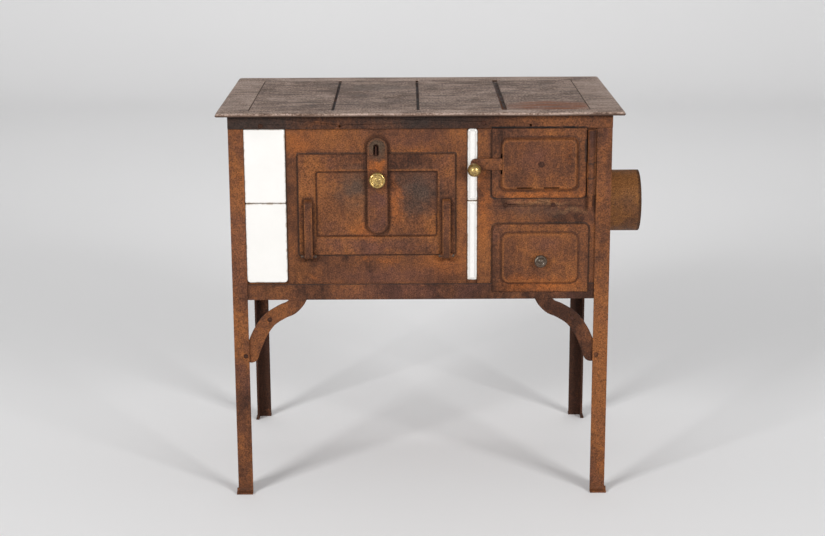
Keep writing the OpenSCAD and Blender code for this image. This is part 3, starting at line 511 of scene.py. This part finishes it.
def pressed_panel(name, node, body, material, corner, emboss, edge=1.2, thick=2.0, wave=0.35):
    """A pressed sheet: rounded outline, flat rim and a soft step to its middle.

    emboss holds the inner rectangle's insets (left, right, bottom, top), its corner radius, the depth of
    its face and the width of the slope, in millimetres; corner is the outline's radius, one per corner.
    """
    low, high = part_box(node)
    proud = 1.0
    front = at(0, -proud, 0).y
    thick, edge = thick * MM, edge * MM
    x0, x1, z0, z1 = low.x, high.x, low.z, high.z
    radii = [c * MM for c in corner]
    left, right, bottom, top, radius, face, slope = (v * MM for v in emboss)
    step = face + proud * MM

    def outline(inset, y):
        left_over = [max(r - inset, 0.4 * MM) for r in radii]
        return ring(x0 + inset, x1 - inset, z0 + inset, z1 - inset, left_over, y)

    def inner(shift, y):
        return ring(x0 + left + shift, x1 - right - shift, z0 + bottom + shift, z1 - top - shift,
                    max(radius - shift, 1.0 * MM), y)

    shape = [(0.0, 0.0), (0.06, 0.02), (0.2, 0.12), (0.4, 0.36),
             (0.6, 0.64), (0.8, 0.88), (0.94, 0.98), (1.0, 1.0)]
    back = [inner(slope * t, front + thick + step * h) for t, h in reversed(shape)]
    rim = [outline(edge * 3, front + thick), outline(edge * 0.3, front + thick),
           outline(0.0, front + thick - edge * 0.3), outline(0.0, front + edge),
           outline(edge * 0.3, front + edge * 0.3), outline(edge, front), outline(edge * 3, front)]
    face_rings = [inner(slope * t, front + step * h) for t, h in shape]
    shrink = [slope + extra * MM for extra in (4, 14, 28, 44)]
    centre = []
    half = min(x1 - right - x0 - left, z1 - top - z0 - bottom) / 2
    for inset in shrink:
        if half > inset + 3 * MM:
            centre.append(inner(inset, front + step))
    verts, faces = loft(back + rim + face_rings + centre)
    moved = []
    for v in verts:
        shift = wobble(v, 14.0, wave * MM, seed=len(name))
        moved.append(Vector((v.x, max(v.y + shift, low.y), v.z)))
    piece = add_mesh(name, moved, faces, material, body)
    shade_by_angle(piece, 50)
    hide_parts(node)
    return piece


def build_oven_door(material):
    """Oven door with a broad rim and a sunk middle."""
    pressed_panel("oven_door_skin", "oven_door_panel", "oven_door", material,
                  (4, 4, 4, 4), (33, 34, 36, 33.5, 5, 3, 3.5), thick=1.8, wave=0.6)


def build_fire_door(material):
    """Fire door with a raised middle, two air slots and the slot for its latch bar."""
    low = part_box("fire_door_panel")[0]
    piece = pressed_panel("fire_door_skin", "fire_door_panel", "fire_door", material,
                          (10, 3, 3, 12), (15.5, 15.5, 15, 17, 13, -7.5, 6.5), thick=1.6, wave=0.5)
    bar_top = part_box("fire_latch_bar")[1].z
    bar_low = bar_top - LATCH_BAR_H * MM
    left = low.x + 15 * MM
    cutters = [((left - 2 * MM, low.y + 1.1 * MM, bar_low - 9 * MM),
                (left + 5.5 * MM, low.y + 6.5 * MM, bar_top + 9 * MM))]
    for shift in (49, 103):
        start = low.x + shift * MM
        cutters.append(((start, low.y - 1 * MM, low.z + 20.5 * MM),
                        (start + 31 * MM, low.y + 9 * MM, low.z + 23 * MM)))
    carve(piece, cutters)
    shade_by_angle(piece, 40)


def build_drawer_front(material):
    """Ash drawer front with a softly raised middle."""
    pressed_panel("ash_drawer_skin", "ash_drawer_front", "ash_drawer", material,
                  (2, 12, 12, 2), (16, 19, 18, 16, 16, -4.5, 4.5), thick=2.4, wave=0.5)


def tile(name, node, material, corner, crown, edge=2.2):
    """A glazed tile with rolled edges and a slightly crowned face."""
    low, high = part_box(node)
    edge, crown = edge * MM, crown * MM
    radii = [c * MM for c in corner]
    half = min(high.x - low.x, high.z - low.z) / 2

    def level(inset, y):
        return ring(low.x + inset, high.x - inset, low.z + inset, high.z - inset,
                    [min(max(r - inset, 0.15 * MM), half - inset - 0.02 * MM) for r in radii], y, 6)

    rings = [level(0.3 * MM, high.y), level(0.0, high.y - 0.4 * MM), level(0.0, low.y + crown + edge)]
    edge_steps, face_steps = 6, 8
    for i in range(1, edge_steps + 1):
        angle = math.pi / 2 * i / edge_steps
        rings.append(level(edge * (1 - math.cos(angle)), low.y + crown + edge * (1 - math.sin(angle))))
    reach = half - 0.4 * MM - edge
    for i in range(1, face_steps + 1):
        t = i / face_steps
        rise = math.sin(math.pi / 2 * min(1, t * 1.6))
        rings.append(level(edge + reach * t, low.y + crown * (1 - rise)))
    verts, faces = loft(rings)
    piece = add_mesh(name, verts, faces, material, "stove")
    shade_by_angle(piece, 60)
    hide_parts(node)


def build_tiles(material):
    """Two wide tiles on the left and two narrow ones beside the fire front."""
    tile("wide_tile_upper", "tile_wide_upper", material, (3, 3, 3, 3), 0.8)
    tile("wide_tile_lower", "tile_wide_lower", material, (7, 3, 3, 7), 0.8)
    tile("narrow_tile_upper", "tile_narrow_upper", material, (1.5, 7, 7, 1.5), 3.2, 3.0)
    tile("narrow_tile_lower", "tile_narrow_lower", material, (3, 1.5, 1.5, 3), 3.2, 3.0)


def soft_block(name, low, high, edge, material, body):
    """A block with rounded edges between two corners."""
    rings = []
    for y, inset in ((high.y, edge), (high.y - edge * 0.3, edge * 0.3), (high.y - edge, 0.0),
                     (low.y + edge, 0.0), (low.y + edge * 0.3, edge * 0.3), (low.y, edge)):
        rings.append(ring(low.x + inset, high.x - inset, low.z + inset, high.z - inset, edge, y, 4))
    verts, faces = loft(rings)
    piece = add_mesh(name, verts, faces, material, body)
    shade_by_angle(piece, 50)
    return piece


def warped_plate(name, node, body, material, seed, sag, edge=1.6, dent=0.6, trim=0.0):
    """A flat plate as a fine grid with rounded edges, slightly sagged and wavy, never above its CAD node."""
    low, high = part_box(node)
    high.x -= trim
    nx, ny = 22, 40
    edge = edge * MM
    insets = [0.0, edge * 0.3, edge]
    drops = [edge, edge * 0.3, 0.0]

    def spread(a, b, count):
        inner = [a + (b - a) * i / count for i in range(1, count)]
        return [a + i for i in insets] + [v for v in inner if a + 2 * edge < v < b - 2 * edge] \
            + [b - i for i in reversed(insets)]

    xs, ys = spread(low.x, high.x, nx), spread(low.y, high.y, ny)

    def border(v, a, b):
        gap = min(v - a, b - v)
        for inset, drop in zip(insets, drops):
            if gap <= inset + 1e-7:
                return drop
        return 0.0

    top, bottom = [], []
    for y in ys:
        for x in xs:
            u = (x - low.x) / (high.x - low.x) * 2 - 1
            v = (y - low.y) / (high.y - low.y) * 2 - 1
            fall = sag * MM * (1 - u * u) * (1 - v * v)
            wave = (noise.noise(Vector((x * 9 + seed, y * 9, seed))) * 0.5 + 0.5) * dent * MM
            drop = max(border(x, low.x, high.x), border(y, low.y, high.y))
            top.append(Vector((x, y, high.z - fall - wave - drop)))
            bottom.append(Vector((x, y, min(low.z, high.z - fall - wave - drop - 1.2 * MM))))
    cols, rows = len(xs), len(ys)
    verts = top + bottom
    base = len(top)
    faces = []
    for j in range(rows - 1):
        for i in range(cols - 1):
            a = j * cols + i
            faces.append((a, a + 1, a + 1 + cols, a + cols))
            faces.append((base + a, base + a + cols, base + a + 1 + cols, base + a + 1))
    rim = [j * cols for j in range(rows)]
    edge_loop = list(range(cols)) + [j * cols + cols - 1 for j in range(1, rows)] \
        + [(rows - 1) * cols + i for i in range(cols - 2, -1, -1)] + list(reversed(rim[1:-1]))
    for i, a in enumerate(edge_loop):
        b = edge_loop[(i + 1) % len(edge_loop)]
        faces.append((a, base + a, base + b, b))
    piece = add_mesh(name, verts, faces, material, body)
    shade_by_angle(piece, 50)
    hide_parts(node)


def build_top(material):
    """The top frame: a sheet with an opening, its edges rolled down all round and a little wavy in front."""
    low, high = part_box("top_frame")
    first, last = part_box("cover_plate_1")[0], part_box("cover_plate_4")[1]
    hole_lo = Vector((first.x - 1 * MM, first.y - 1 * MM, 0))
    hole_hi = Vector((last.x + 1 * MM, last.y + 1 * MM, 0))
    corner, thick = 8 * MM, 2.6 * MM
    roll = [(0.0, 5.6), (0.25, 4.2), (0.8, 2.8), (1.8, 1.6), (3.2, 0.7), (5.2, 0.2), (8.0, 0.0)]

    def spread(a, b, hole_a, hole_b, count):
        edges = [a + inset * MM for inset, _ in roll] + [b - inset * MM for inset, _ in reversed(roll)]
        inside = [hole_a, hole_a - 1.2 * MM, hole_b, hole_b + 1.2 * MM]
        between = [a + (b - a) * i / count for i in range(1, count)]
        keep = [v for v in between
                if a + 9 * MM < v < b - 9 * MM and min(abs(v - h) for h in inside) > 2.5 * MM]
        return sorted(edges + inside + keep)

    xs, ys = spread(low.x, high.x, hole_lo.x, hole_hi.x, 56), spread(low.y, high.y, hole_lo.y, hole_hi.y, 34)

    def drop(inset):
        for (a, da), (b, db) in zip(roll, roll[1:]):
            if inset <= b * MM + 1e-9:
                t = (inset - a * MM) / ((b - a) * MM)
                return (da + (db - da) * t) * MM
        return 0.0

    def place(x, y):
        inset = min(x - low.x, high.x - x, y - low.y, high.y - y)
        near_x = low.x + corner if x < low.x + corner else (high.x - corner if x > high.x - corner else None)
        near_y = low.y + corner if y < low.y + corner else (high.y - corner if y > high.y - corner else None)
        px, py = x, y
        if near_x is not None and near_y is not None:
            dx, dy = x - near_x, y - near_y
            far = math.hypot(dx, dy)
            if far > 0:
                grow = max(abs(dx), abs(dy)) / far
                px, py = near_x + dx * grow, near_y + dy * grow
        front = max(0.0, 1 - (y - low.y) / (34 * MM))
        wave = noise.noise(Vector((x * 7.5, 2.0, 0.0))) * 1.6
        wave += noise.noise(Vector((x * 22.0, 5.0, 0.0))) * 0.5
        sink = (1.1 + wave) * front * MM + (noise.noise(Vector((x * 8, y * 8, 3.0))) * 0.3 + 0.3) * MM
        hole_gap = max(hole_lo.x - x, x - hole_hi.x, hole_lo.y - y, y - hole_hi.y)
        rim = 0.5 * MM if hole_gap < 0.2 * MM else 0.0
        return Vector((px, py, high.z - drop(inset) * (1 if inset < 9 * MM else 0) - max(sink, 0.0) - rim))

    def in_hole(x, y):
        return hole_lo.x < x < hole_hi.x and hole_lo.y < y < hole_hi.y

    cols, rows = len(xs), len(ys)
    top = [place(x, y) for y in ys for x in xs]
    bottom = []
    for v in top:
        bottom.append(Vector((v.x, v.y, max(v.z - thick, low.z))))
    inner_lo, inner_hi = low + Vector((thick, thick, 0)), high - Vector((thick, thick, 0))
    for v in bottom:
        v.x, v.y = min(max(v.x, inner_lo.x), inner_hi.x), min(max(v.y, inner_lo.y), inner_hi.y)
    base = len(top)
    faces, sides = [], {}
    for j in range(rows - 1):
        for i in range(cols - 1):
            if in_hole((xs[i] + xs[i + 1]) / 2, (ys[j] + ys[j + 1]) / 2):
                continue
            loop = (j * cols + i, j * cols + i + 1, (j + 1) * cols + i + 1, (j + 1) * cols + i)
            faces.append(loop)
            faces.append(tuple(base + v for v in reversed(loop)))
            for a, b in zip(loop, loop[1:] + loop[:1]):
                if (b, a) in sides:
                    del sides[(b, a)]
                else:
                    sides[(a, b)] = True
    faces += [(b, a, base + a, base + b) for a, b in sides]
    used = sorted({v for face in faces for v in face})
    new = {old: i for i, old in enumerate(used)}
    verts = top + bottom
    piece = add_mesh("top_sheet", [verts[v] for v in used], [tuple(new[v] for v in face) for face in faces],
                     material, "stove")
    shade_by_angle(piece, 50)
    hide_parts("top_frame")
    ledge, z1 = 9 * MM, first.z - 0.1 * MM
    blocks = [((hole_lo.x - 3 * MM, hole_lo.y - 3 * MM), (hole_hi.x + 3 * MM, hole_lo.y + ledge)),
              ((hole_lo.x - 3 * MM, hole_hi.y - ledge), (hole_hi.x + 3 * MM, hole_hi.y + 3 * MM)),
              ((hole_lo.x - 3 * MM, hole_lo.y + ledge), (hole_lo.x + ledge, hole_hi.y - ledge)),
              ((hole_hi.x - ledge, hole_lo.y + ledge), (hole_hi.x + 3 * MM, hole_hi.y - ledge))]
    for i, ((x0, y0), (x1, y1)) in enumerate(blocks, start=1):
        strip = soft_block(f"top_ledge_{i}", Vector((x0, y0, z1 - 3.6 * MM)), Vector((x1, y1, z1)), 0.5 * MM,
                           material, "stove")
        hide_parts("top_frame")


def build_covers(material, lip_look):
    """The four loose cover plates."""
    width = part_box("cover_plate_1")[1].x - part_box("cover_plate_1")[0].x
    for i, sag in enumerate((1.2, 1.5, 0.9, 1.6), start=1):
        low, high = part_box(f"cover_plate_{i}")
        trim = high.x - low.x - width
        warped_plate(f"cover_{i}_plate", f"cover_plate_{i}", f"cover_{i}", material, i * 3.7, sag,
                     trim=trim)
        if trim > 1 * MM:
            lip_low = Vector((high.x - trim - 2 * MM, low.y + 11 * MM, low.z))
            lip_high = Vector((high.x, high.y - 11 * MM, low.z + 1.4 * MM))
            lip = soft_block(f"cover_{i}_lip", lip_low, lip_high, 0.4 * MM, lip_look, f"cover_{i}")
            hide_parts(f"cover_plate_{i}")


def build_oven_knob(material):
    """Brass button knob: a rolled ring round a pressed, dented middle on a short neck."""
    low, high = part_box("oven_knob")
    centre = Vector(((low.x + high.x) / 2, high.y - 3 * MM, (low.z + high.z) / 2))
    r = (high.x - low.x) / 2
    depth = centre.y - low.y
    shares = [(0.55, 0.0), (0.50, 0.12), (0.46, 0.26), (0.60, 0.36), (0.86, 0.42), (0.97, 0.54),
              (1.0, 0.66), (0.985, 0.78), (0.93, 0.90), (0.85, 0.98), (0.77, 0.99), (0.70, 0.93),
              (0.65, 0.82), (0.60, 0.79), (0.45, 0.82), (0.30, 0.86), (0.22, 0.87), (0.20, 0.93),
              (0.12, 0.96), (0.02, 0.965)]
    profile = [(across * r, out * depth) for across, out in shares]
    verts, faces = spin(profile, centre, 56)
    dented = []
    for v in verts:
        away = math.hypot(v.x - centre.x, v.z - centre.z) / r
        push = wobble(v, 260.0, 0.7 * MM, 3.0) if away < 0.66 and centre.y - v.y > 0.6 * depth else 0.0
        dented.append(Vector((v.x, max(v.y + push, low.y), v.z)))
    piece = add_mesh("oven_button", dented, faces, material, "oven_latch")
    shade_by_angle(piece, 60)
    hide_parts("oven_knob")


def build_latch_bar(iron_look, brass_look):
    """Fire latch: a flat iron bar with rounded edges, carrying a brass ball on a short neck."""
    low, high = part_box("fire_latch_bar")
    z1, height = high.z, LATCH_BAR_H * MM
    y0, y1 = high.y - 3.7 * MM, high.y
    edge = 0.8 * MM

    def level(inset, y):
        return ring(low.x + 6 * MM + inset, high.x - inset, z1 - height + inset, z1 - inset,
                    height / 2 - 0.5 * MM - inset, y)

    rings = [level(edge, y1), level(edge * 0.3, y1 - edge * 0.3), level(0, y1 - edge), level(0, y0 + edge),
             level(edge * 0.3, y0 + edge * 0.3), level(edge, y0), level(6 * MM, y0)]
    verts, faces = loft(rings)
    bar = add_mesh("latch_bar", verts, faces, iron_look, "fire_latch")
    shade_by_angle(bar, 50)
    r = 13.5 * MM
    centre = Vector((low.x + r, y0, low.z + r))
    reach = y0 - low.y
    profile = [(0.42 * r, 0.0), (0.40 * r, 0.05 * reach), (0.44 * r, 0.09 * reach)]
    steps, first, sweep = 18, -62, 152
    for i in range(1, steps + 1):
        angle = math.radians(first + sweep * i / steps)
        profile.append((max(r * math.cos(angle), 0.0002), reach - r + r * math.sin(angle)))
    verts, faces = spin(profile, centre, 48)
    ball = add_mesh("latch_ball", verts, faces, brass_look, "fire_latch")
    shade_by_angle(ball, 60)
    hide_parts("fire_latch_bar")


def build_drawer_knob(material):
    """Small turned nickel knob with a slotted screw in its hollow face."""
    low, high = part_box("ash_drawer_knob")
    face_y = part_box("ash_drawer_front")[0].y
    centre = Vector(((low.x + high.x) / 2, face_y, (low.z + high.z) / 2))
    r = (high.x - low.x) / 2
    depth = face_y - low.y
    shares = [(0.62, 0.0), (0.60, 0.10), (0.40, 0.22), (0.38, 0.40), (0.62, 0.50), (0.90, 0.56), (1.0, 0.68),
              (0.97, 0.82), (0.86, 0.95), (0.76, 1.0), (0.66, 0.97), (0.58, 0.84), (0.40, 0.78), (0.34, 0.80),
              (0.33, 0.92), (0.2, 0.98), (0.02, 0.99)]
    profile = [(across * r, out * depth) for across, out in shares]
    verts, faces = spin(profile, centre, 48)
    knob = add_mesh("drawer_knob", verts, faces, material, "ash_drawer")
    slot_half = 0.34 * r
    carve(knob, [((centre.x - slot_half, low.y - 1 * MM, centre.z - 0.7 * MM),
                  (centre.x + slot_half, low.y + 0.2 * depth, centre.z + 0.7 * MM))])
    shade_by_angle(knob, 45)
    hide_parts("ash_drawer_knob")


# ---- materials of the parts ----

def grown_box(node, grow=0.0):
    """The corners of a CAD node's box, grown in X and Z."""
    low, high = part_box(node)
    return low - Vector((grow, 0, grow)), high + Vector((grow, 0, grow))


def inner_box(node, left, right, bottom, top):
    """The corners of a CAD node's box, moved inwards by millimetres at each side."""
    low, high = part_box(node)
    return low + Vector((left, 0, bottom)) * MM, high - Vector((right, 0, top)) * MM


def hinge_bars():
    """The corners of the two flat bars that carry the oven door."""
    low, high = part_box("oven_hinge_bars")
    width = HINGE_BAR_W * MM
    return (low, Vector((low.x + width, 0, high.z))), (Vector((high.x - width, 0, low.z)), high)


def frame_iron():
    """Iron of the two front plates, with painted gap shadows round the doors and the drawer."""
    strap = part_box("latch_strap")
    return iron("rust_frame", 1.0, orange=0.45, blots=[
        (at(-190, 4, 750), (0.13, 0.05, 0.05), OCHRE, 0.6),
        (at(-248, 4, 610), (0.03, 0.05, 0.15), RUSSET, 0.8),
        (at(-240, 4, 740), (0.06, 0.05, 0.04), ORANGE, 0.4),
        (at(-30, 4, 745), (0.12, 0.05, 0.03), PLUM, 0.35),
        (at(50, 4, 490), (0.07, 0.05, 0.05), ORANGE, 0.35),
        (at(-60, 4, 462), (0.16, 0.05, 0.03), PLUM, 0.6),
        (at(60, 4, 458), (0.09, 0.05, 0.03), UMBER, 0.55),
        (at(-250, 4, 470), (0.05, 0.05, 0.06), OCHRE, 0.5),
        (at(128, 4, 600), (0.02, 0.05, 0.12), ORANGE, 0.4),
        (at(236, 4, 614), (0.10, 0.05, 0.008), SAND, 0.30),
        (at(300, 4, 596), (0.05, 0.05, 0.010), SAND, 0.22),
        (at(230, 4, 596), (0.10, 0.05, 0.025), SLATE, 0.45)],
        # Lines: painted gap shadows round the oven door, the fire door and the drawer and beside the fire
        # door's hinge, a dark line across the band under the fire door, a darker border along the oven
        # plate's edge and painted shade round the latch strap
        lines=[(*grown_box("oven_door_panel", 0.0010), 0.002, 0.0032, SOOT_AND_SHADE, 0.85),
               (*grown_box("fire_door_panel", 0.0010), 0.006, 0.0036, SOOT_AND_SHADE, 0.85),
               (*grown_box("ash_drawer_front", 0.0010), 0.010, 0.0032, SOOT_AND_SHADE, 0.8),
               (at(146, 0, 606.5), at(328, 0, 607.5), 0.0, 0.0028, UMBER, 0.7),
               (at(329, 0, 697), at(333, 0, 742), 0.0, -0.001, SOOT_AND_SHADE, 1.0),
               (*grown_box("oven_front_plate"), 0.002, 0.003, UMBER, 0.6),
               (strap[0] - Vector((0.002, 0, 0)), strap[1] + Vector((0.002, 0, 0.002)),
                0.018, 0.007, UMBER, 0.75)])


def rail_iron():
    """Darker iron of the lower rail and the brackets."""
    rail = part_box("lower_front_rail")
    return iron("rust_rail", 2.0, dark=0.13, orange=0.3, blots=[
        (at(-60, 4, 430), (0.16, 0.05, 0.04), PLUM, 0.5), (at(-300, 4, 430), (0.05, 0.05, 0.04), OCHRE, 0.4)],
        lines=[(Vector((rail[0].x, 0, rail[1].z - 0.0012)), Vector((rail[1].x, 0, rail[1].z + 0.002)),
                0.0, -0.002, SOOT_AND_SHADE, 0.7)])


def post_iron():
    """Iron of the front posts."""
    return iron("rust_post", 3.0, orange=0.4, blots=[
        (at(370, 4, 250), (0.05, 0.05, 0.30), OCHRE, 0.35),
        (at(-370, 4, 520), (0.05, 0.05, 0.16), PLUM, 0.4)])


def door_iron():
    """Iron of the oven door, darkened in its middle, with painted shade round the strap and the bars."""
    door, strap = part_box("oven_door_panel"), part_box("latch_strap")
    door_mid = (door[0] + door[1]) / 2
    bar_left, bar_right = hinge_bars()
    return iron("rust_door", 5.0, orange=0.4, dark=0.015, blots=[
        (door_mid + Vector((-0.080, 0, -0.010)), (0.055, 0.05, 0.065), BROWN, 0.8),
        (door_mid + Vector((-0.045, 0, 0.035)), (0.060, 0.05, 0.060), SLATE, 0.85),
        (door_mid + Vector((0.080, 0, 0.025)), (0.065, 0.05, 0.070), SLATE, 0.75),
        (door_mid + Vector((0.035, 0, 0.005)), (0.020, 0.05, 0.070), ORANGE, 0.6),
        (door_mid + Vector((-0.020, 0, -0.055)), (0.050, 0.05, 0.025), ORANGE, 0.65),
        (door_mid + Vector((0.0, 0, -0.085)), (0.14, 0.05, 0.018), PLUM, 0.5)],
        # Lines: painted shade at the foot of the sunk middle, a paler line on the rim round it that is
        # painted highlight and rubbed wear, a darker line along the door's edge and painted shadows round the
        # strap and the hinge bars
        lines=[(*inner_box("oven_door_panel", 36.5, 37.5, 39.0, 36.5), 0.004, 0.0035, UMBER, 0.9),
               (*inner_box("oven_door_panel", 32.0, 33.0, 35.0, 32.0), 0.005, 0.0035, OCHRE, 0.65),
               (*door, 0.004, 0.0026, UMBER, 0.7),
               (strap[0] - Vector((0.003, 0, 0.002)), strap[1] + Vector((0.003, 0, 0.0)),
                0.018, 0.008, UMBER, 0.85),
               (*bar_left, 0.0, 0.009, UMBER, 0.9), (*bar_right, 0.0, 0.009, UMBER, 0.9)])


def bar_iron():
    """Iron of the hinge bars, pale along their edges: rubbed wear and a painted highlight together."""
    bar_edge_wear_and_highlights = [(low, high, 0.0, 0.0030, OCHRE, 0.8) for low, high in hinge_bars()]
    return iron("rust_bar", 6.0, dark=0.06, orange=0.1, purple=0.2, lines=bar_edge_wear_and_highlights)


def strap_iron():
    """Iron of the latch strap, greenish at its top with a rusty band under it."""
    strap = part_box("latch_strap")
    strap_mid = (strap[0] + strap[1]) / 2
    return iron("rust_strap", 7.0, dark=0.05, orange=0.1, purple=0.8, blots=[
        (Vector((strap_mid.x, strap[0].y, strap[1].z - 0.016)), (0.04, 0.05, 0.040), MOSS, 0.9),
        (Vector((strap_mid.x, strap[0].y, strap[1].z - 0.055)), (0.028, 0.05, 0.018), ORANGE, 0.95)],
        # Lines: a paler line just inside the strap's edge, painted highlight and rubbed wear, and a darker
        # line on the edge itself
        lines=[(strap[0] + Vector((0.0025, 0, 0.0025)), strap[1] - Vector((0.0025, 0, 0.0025)), 0.017, 0.003,
                RUSSET, 0.6), (*strap, 0.0195, 0.0022, UMBER, 0.7)])


def fire_iron():
    """Iron of the fire door."""
    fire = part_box("fire_door_panel")
    return iron("rust_fire", 8.0, orange=0.45, blots=[
        (fire[0] + Vector((0.10, 0, 0.007)), (0.13, 0.05, 0.016), ORANGE, 0.75),
        (fire[0] + Vector((0.09, 0, 0.08)), (0.05, 0.05, 0.04), PLUM, 0.5),
        (fire[1] + Vector((-0.012, 0, -0.03)), (0.02, 0.05, 0.09), OCHRE, 0.5)],
        # Lines: painted shade at the foot of the raised middle, a paler line on its crest that is painted
        # highlight and rubbed wear, a darker line along the door's edge and a painted gap shadow in the slot
        # beside the hinge
        lines=[(*inner_box("fire_door_panel", 15, 15, 14.5, 16.5), 0.013, 0.0035, UMBER, 0.75),
               (*inner_box("fire_door_panel", 22, 22, 21.5, 23.5), 0.012, 0.0035, OCHRE, 0.7),
               (*fire, 0.010, 0.0026, UMBER, 0.6),
               (at(326.5, 0, 697), at(331, 0, 742), 0.0, -0.001, SOOT_AND_SHADE, 1.0)])


def drawer_iron():
    """Iron of the ash drawer front."""
    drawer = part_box("ash_drawer_front")
    return iron("rust_drawer", 9.0, orange=0.45, blots=[
        (drawer[0] + Vector((0.10, 0, 0.016)), (0.11, 0.05, 0.030), ORANGE, 0.6),
        (drawer[0] + Vector((0.11, 0, 0.10)), (0.05, 0.05, 0.03), PLUM, 0.5)],
        # Lines: painted shade at the foot of the raised middle, a paler line on its crest that is painted
        # highlight and rubbed wear, and a darker line along the front's edge
        lines=[(*inner_box("ash_drawer_front", 16, 19, 18, 16), 0.017, 0.0035, UMBER, 0.7),
               (*inner_box("ash_drawer_front", 21.5, 24.5, 23, 21.5), 0.014, 0.0032, OCHRE, 0.75),
               (*drawer, 0.012, 0.0026, UMBER, 0.6)])


def hinge_iron():
    """Iron of the fire door's hinge, with painted shade in the gaps between its knuckles and a paler line
    round its outline.
    """
    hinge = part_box("fire_hinge_frame_leaf")
    gap_heights = (0.6295, 0.6633, 0.6937)
    # Painted shade in the gaps between the knuckles
    lines = [(Vector((hinge[0].x, 0, z)), Vector((hinge[1].x, 0, z + 0.0002)), 0.0, 0.0024, SOOT_AND_SHADE, 0.95)
             for z in gap_heights]
    lines.append((*hinge, 0.0, 0.0028, OCHRE, 0.8))
    return iron("rust_hinge", 14.0, dark=0.02, orange=0.3, lines=lines)


def frieze_iron():
    """Sooty iron of the frieze, darker along its top edge and rusty at its right end, with a painted gap
    shadow along its lower edge above the fire door.
    """
    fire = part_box("fire_door_panel")
    return iron("soot_frieze", 10.0, dark=0.22, orange=-0.3, purple=0.1, blots=[
        (at(265, 0, 782), (0.17, 0.05, 0.06), RUSSET, 0.85),
        (at(250, 0, 780), (0.12, 0.05, 0.016), OCHRE, 0.7),
        (at(-320, 0, 784), (0.18, 0.05, 0.08), SOOT_AND_SHADE, 0.9), (at(-10, 0, 784), (0.20, 0.05, 0.04), SOOT_AND_SHADE, 0.9),
        (at(250, 0, 798), (0.20, 0.05, 0.014), SOOT_AND_SHADE, 0.6),
        (at(-200, 0, 772), (0.08, 0.05, 0.01), RUSSET, 0.5)],
        # A painted gap shadow between the fire door's top and the frieze
        lines=[(Vector((fire[0].x, 0, 0.7640)), Vector((fire[1].x, 0, 0.7680)),
                0.0, -0.001, (0.006, 0.005, 0.005), 1.0)])


def flue_iron():
    """Paler, coarser iron of the flue stub, dark at its open end."""
    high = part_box("flue_stub")[1]
    return iron("rust_flue", 13.0, dark=-0.10, orange=0.2, purple=0.0, grain=1.5, tint=(1.25, 1.36, 1.34),
                lines=[(high - Vector((0.004, 0, 1)), high + Vector((0.01, 0, 1)), 0.0, -0.004, UMBER, 0.8)])


def cover_top():
    """Worn top of the cover plates, with a rusty patch on the last one."""
    return worn_top("top_covers", 2.0, blots=[
        (at(262, 62, 800), (0.11, 0.085, 0.05), (0.24, 0.085, 0.038), 0.95),
        (at(-90, 330, 800), (0.10, 0.05, 0.05), (0.10, 0.078, 0.066), 0.6)])


# ---- assembly ----

def paint_nodes(rail_look, soot_and_gap_shade, nickel):
    """Gives every CAD node without a piece of its own a material."""
    paint(frame_iron(), "oven_front_plate", "fire_front_plate", "oven_hinge_ears")
    paint(rail_look, "lower_front_rail", "bracket_left", "bracket_right")
    paint(post_iron(), "post_front_left", "post_front_right")
    paint(iron("rust_leg", 4.0, dark=0.30, orange=0.1), "post_rear_left", "post_rear_right", "rivets")
    paint(bar_iron(), "oven_hinge_bars")
    paint(hinge_iron(), "fire_hinge_frame_leaf", "fire_hinge_door_leaf", "fire_hinge_pin")
    paint(strap_iron(), "latch_strap", "latch_strap_lugs")
    paint(iron("rust_sheet", 12.0, dark=0.02, orange=0.45), "side_panel_left", "side_panel_right",
          "back_panel", "bottom_panel", "tile_backing", "oven_door_liner", "ash_pan")
    paint(frieze_iron(), "front_frieze")
    # Near-black sooty iron; on the cover bars it is also painted shade for the gaps between the cover plates
    paint(soot_and_gap_shade, "cover_bars", "upper_side_rails", "upper_rear_rail", "firebox_divider", "firebox_back",
          "smoke_chamber_lid", "grate_frame", "grate", "flue_collar", "drawer_guides", "fire_door_baffle",
          "oven_box", "shelf_runners", "oven_shelf", "latch_tongue")
    paint(flue_iron(), "flue_stub")
    paint(nickel, "oven_hinge_pins")
    paint(brick(), "fire_brick_left", "fire_brick_right", "fire_brick_back")


def build():
    """Paints the CAD nodes, makes every piece and rounds the edges of the nodes in view."""
    rail_look = rail_iron()
    # Soot inside the stove, and painted shade where the cover bars show through the gaps between the cover
    # plates
    soot_and_gap_shade = iron("inside_soot_and_gap_shade", 11.0, dark=0.26, orange=0.05)
    brass = metal("brass", (0.62, 0.43, 0.15), (0.20, 0.13, 0.05), (0.22, 0.5))
    nickel = metal("nickel", (0.55, 0.50, 0.42), (0.075, 0.050, 0.034), (0.22, 0.55), seed=3.0,
                   worn_from=0.52)
    paint_nodes(rail_look, soot_and_gap_shade, nickel)

    build_oven_door(door_iron())
    build_fire_door(fire_iron())
    build_drawer_front(drawer_iron())
    build_tiles(glaze("white_glaze", [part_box(f"tile_{size}_{place}") for size in ("wide", "narrow")
                                      for place in ("upper", "lower")]))
    build_top(worn_top("top_margin", 1.0, light=0.12))
    build_covers(cover_top(), rail_look)
    build_oven_knob(brass)
    build_latch_bar(iron("rust_lever", 6.5, dark=0.06, orange=0.1, purple=0.2), brass)
    build_drawer_knob(nickel)

    for name in ("post_front_left", "post_front_right", "post_rear_left", "post_rear_right",
                 "front_frieze", "lower_front_rail", "bracket_left", "bracket_right", "oven_front_plate",
                 "fire_front_plate", "oven_hinge_bars", "latch_strap", "flue_stub"):
        soften(name)


bpy.context.scene.view_settings.view_transform = "Standard"
add_camera()
add_world()
add_stage()
add_area("key_left", at(-4200, -5200, 3000), at(0, 300, 300), 2.0, 372.0)
add_area("key_right", at(4200, -5200, 2600), at(0, 300, 300), 2.0, 328.0)
add_area("backdrop_light", at(0, 2400, 4200), at(0, 6600, 1300), 4.0, 70.0)
build()
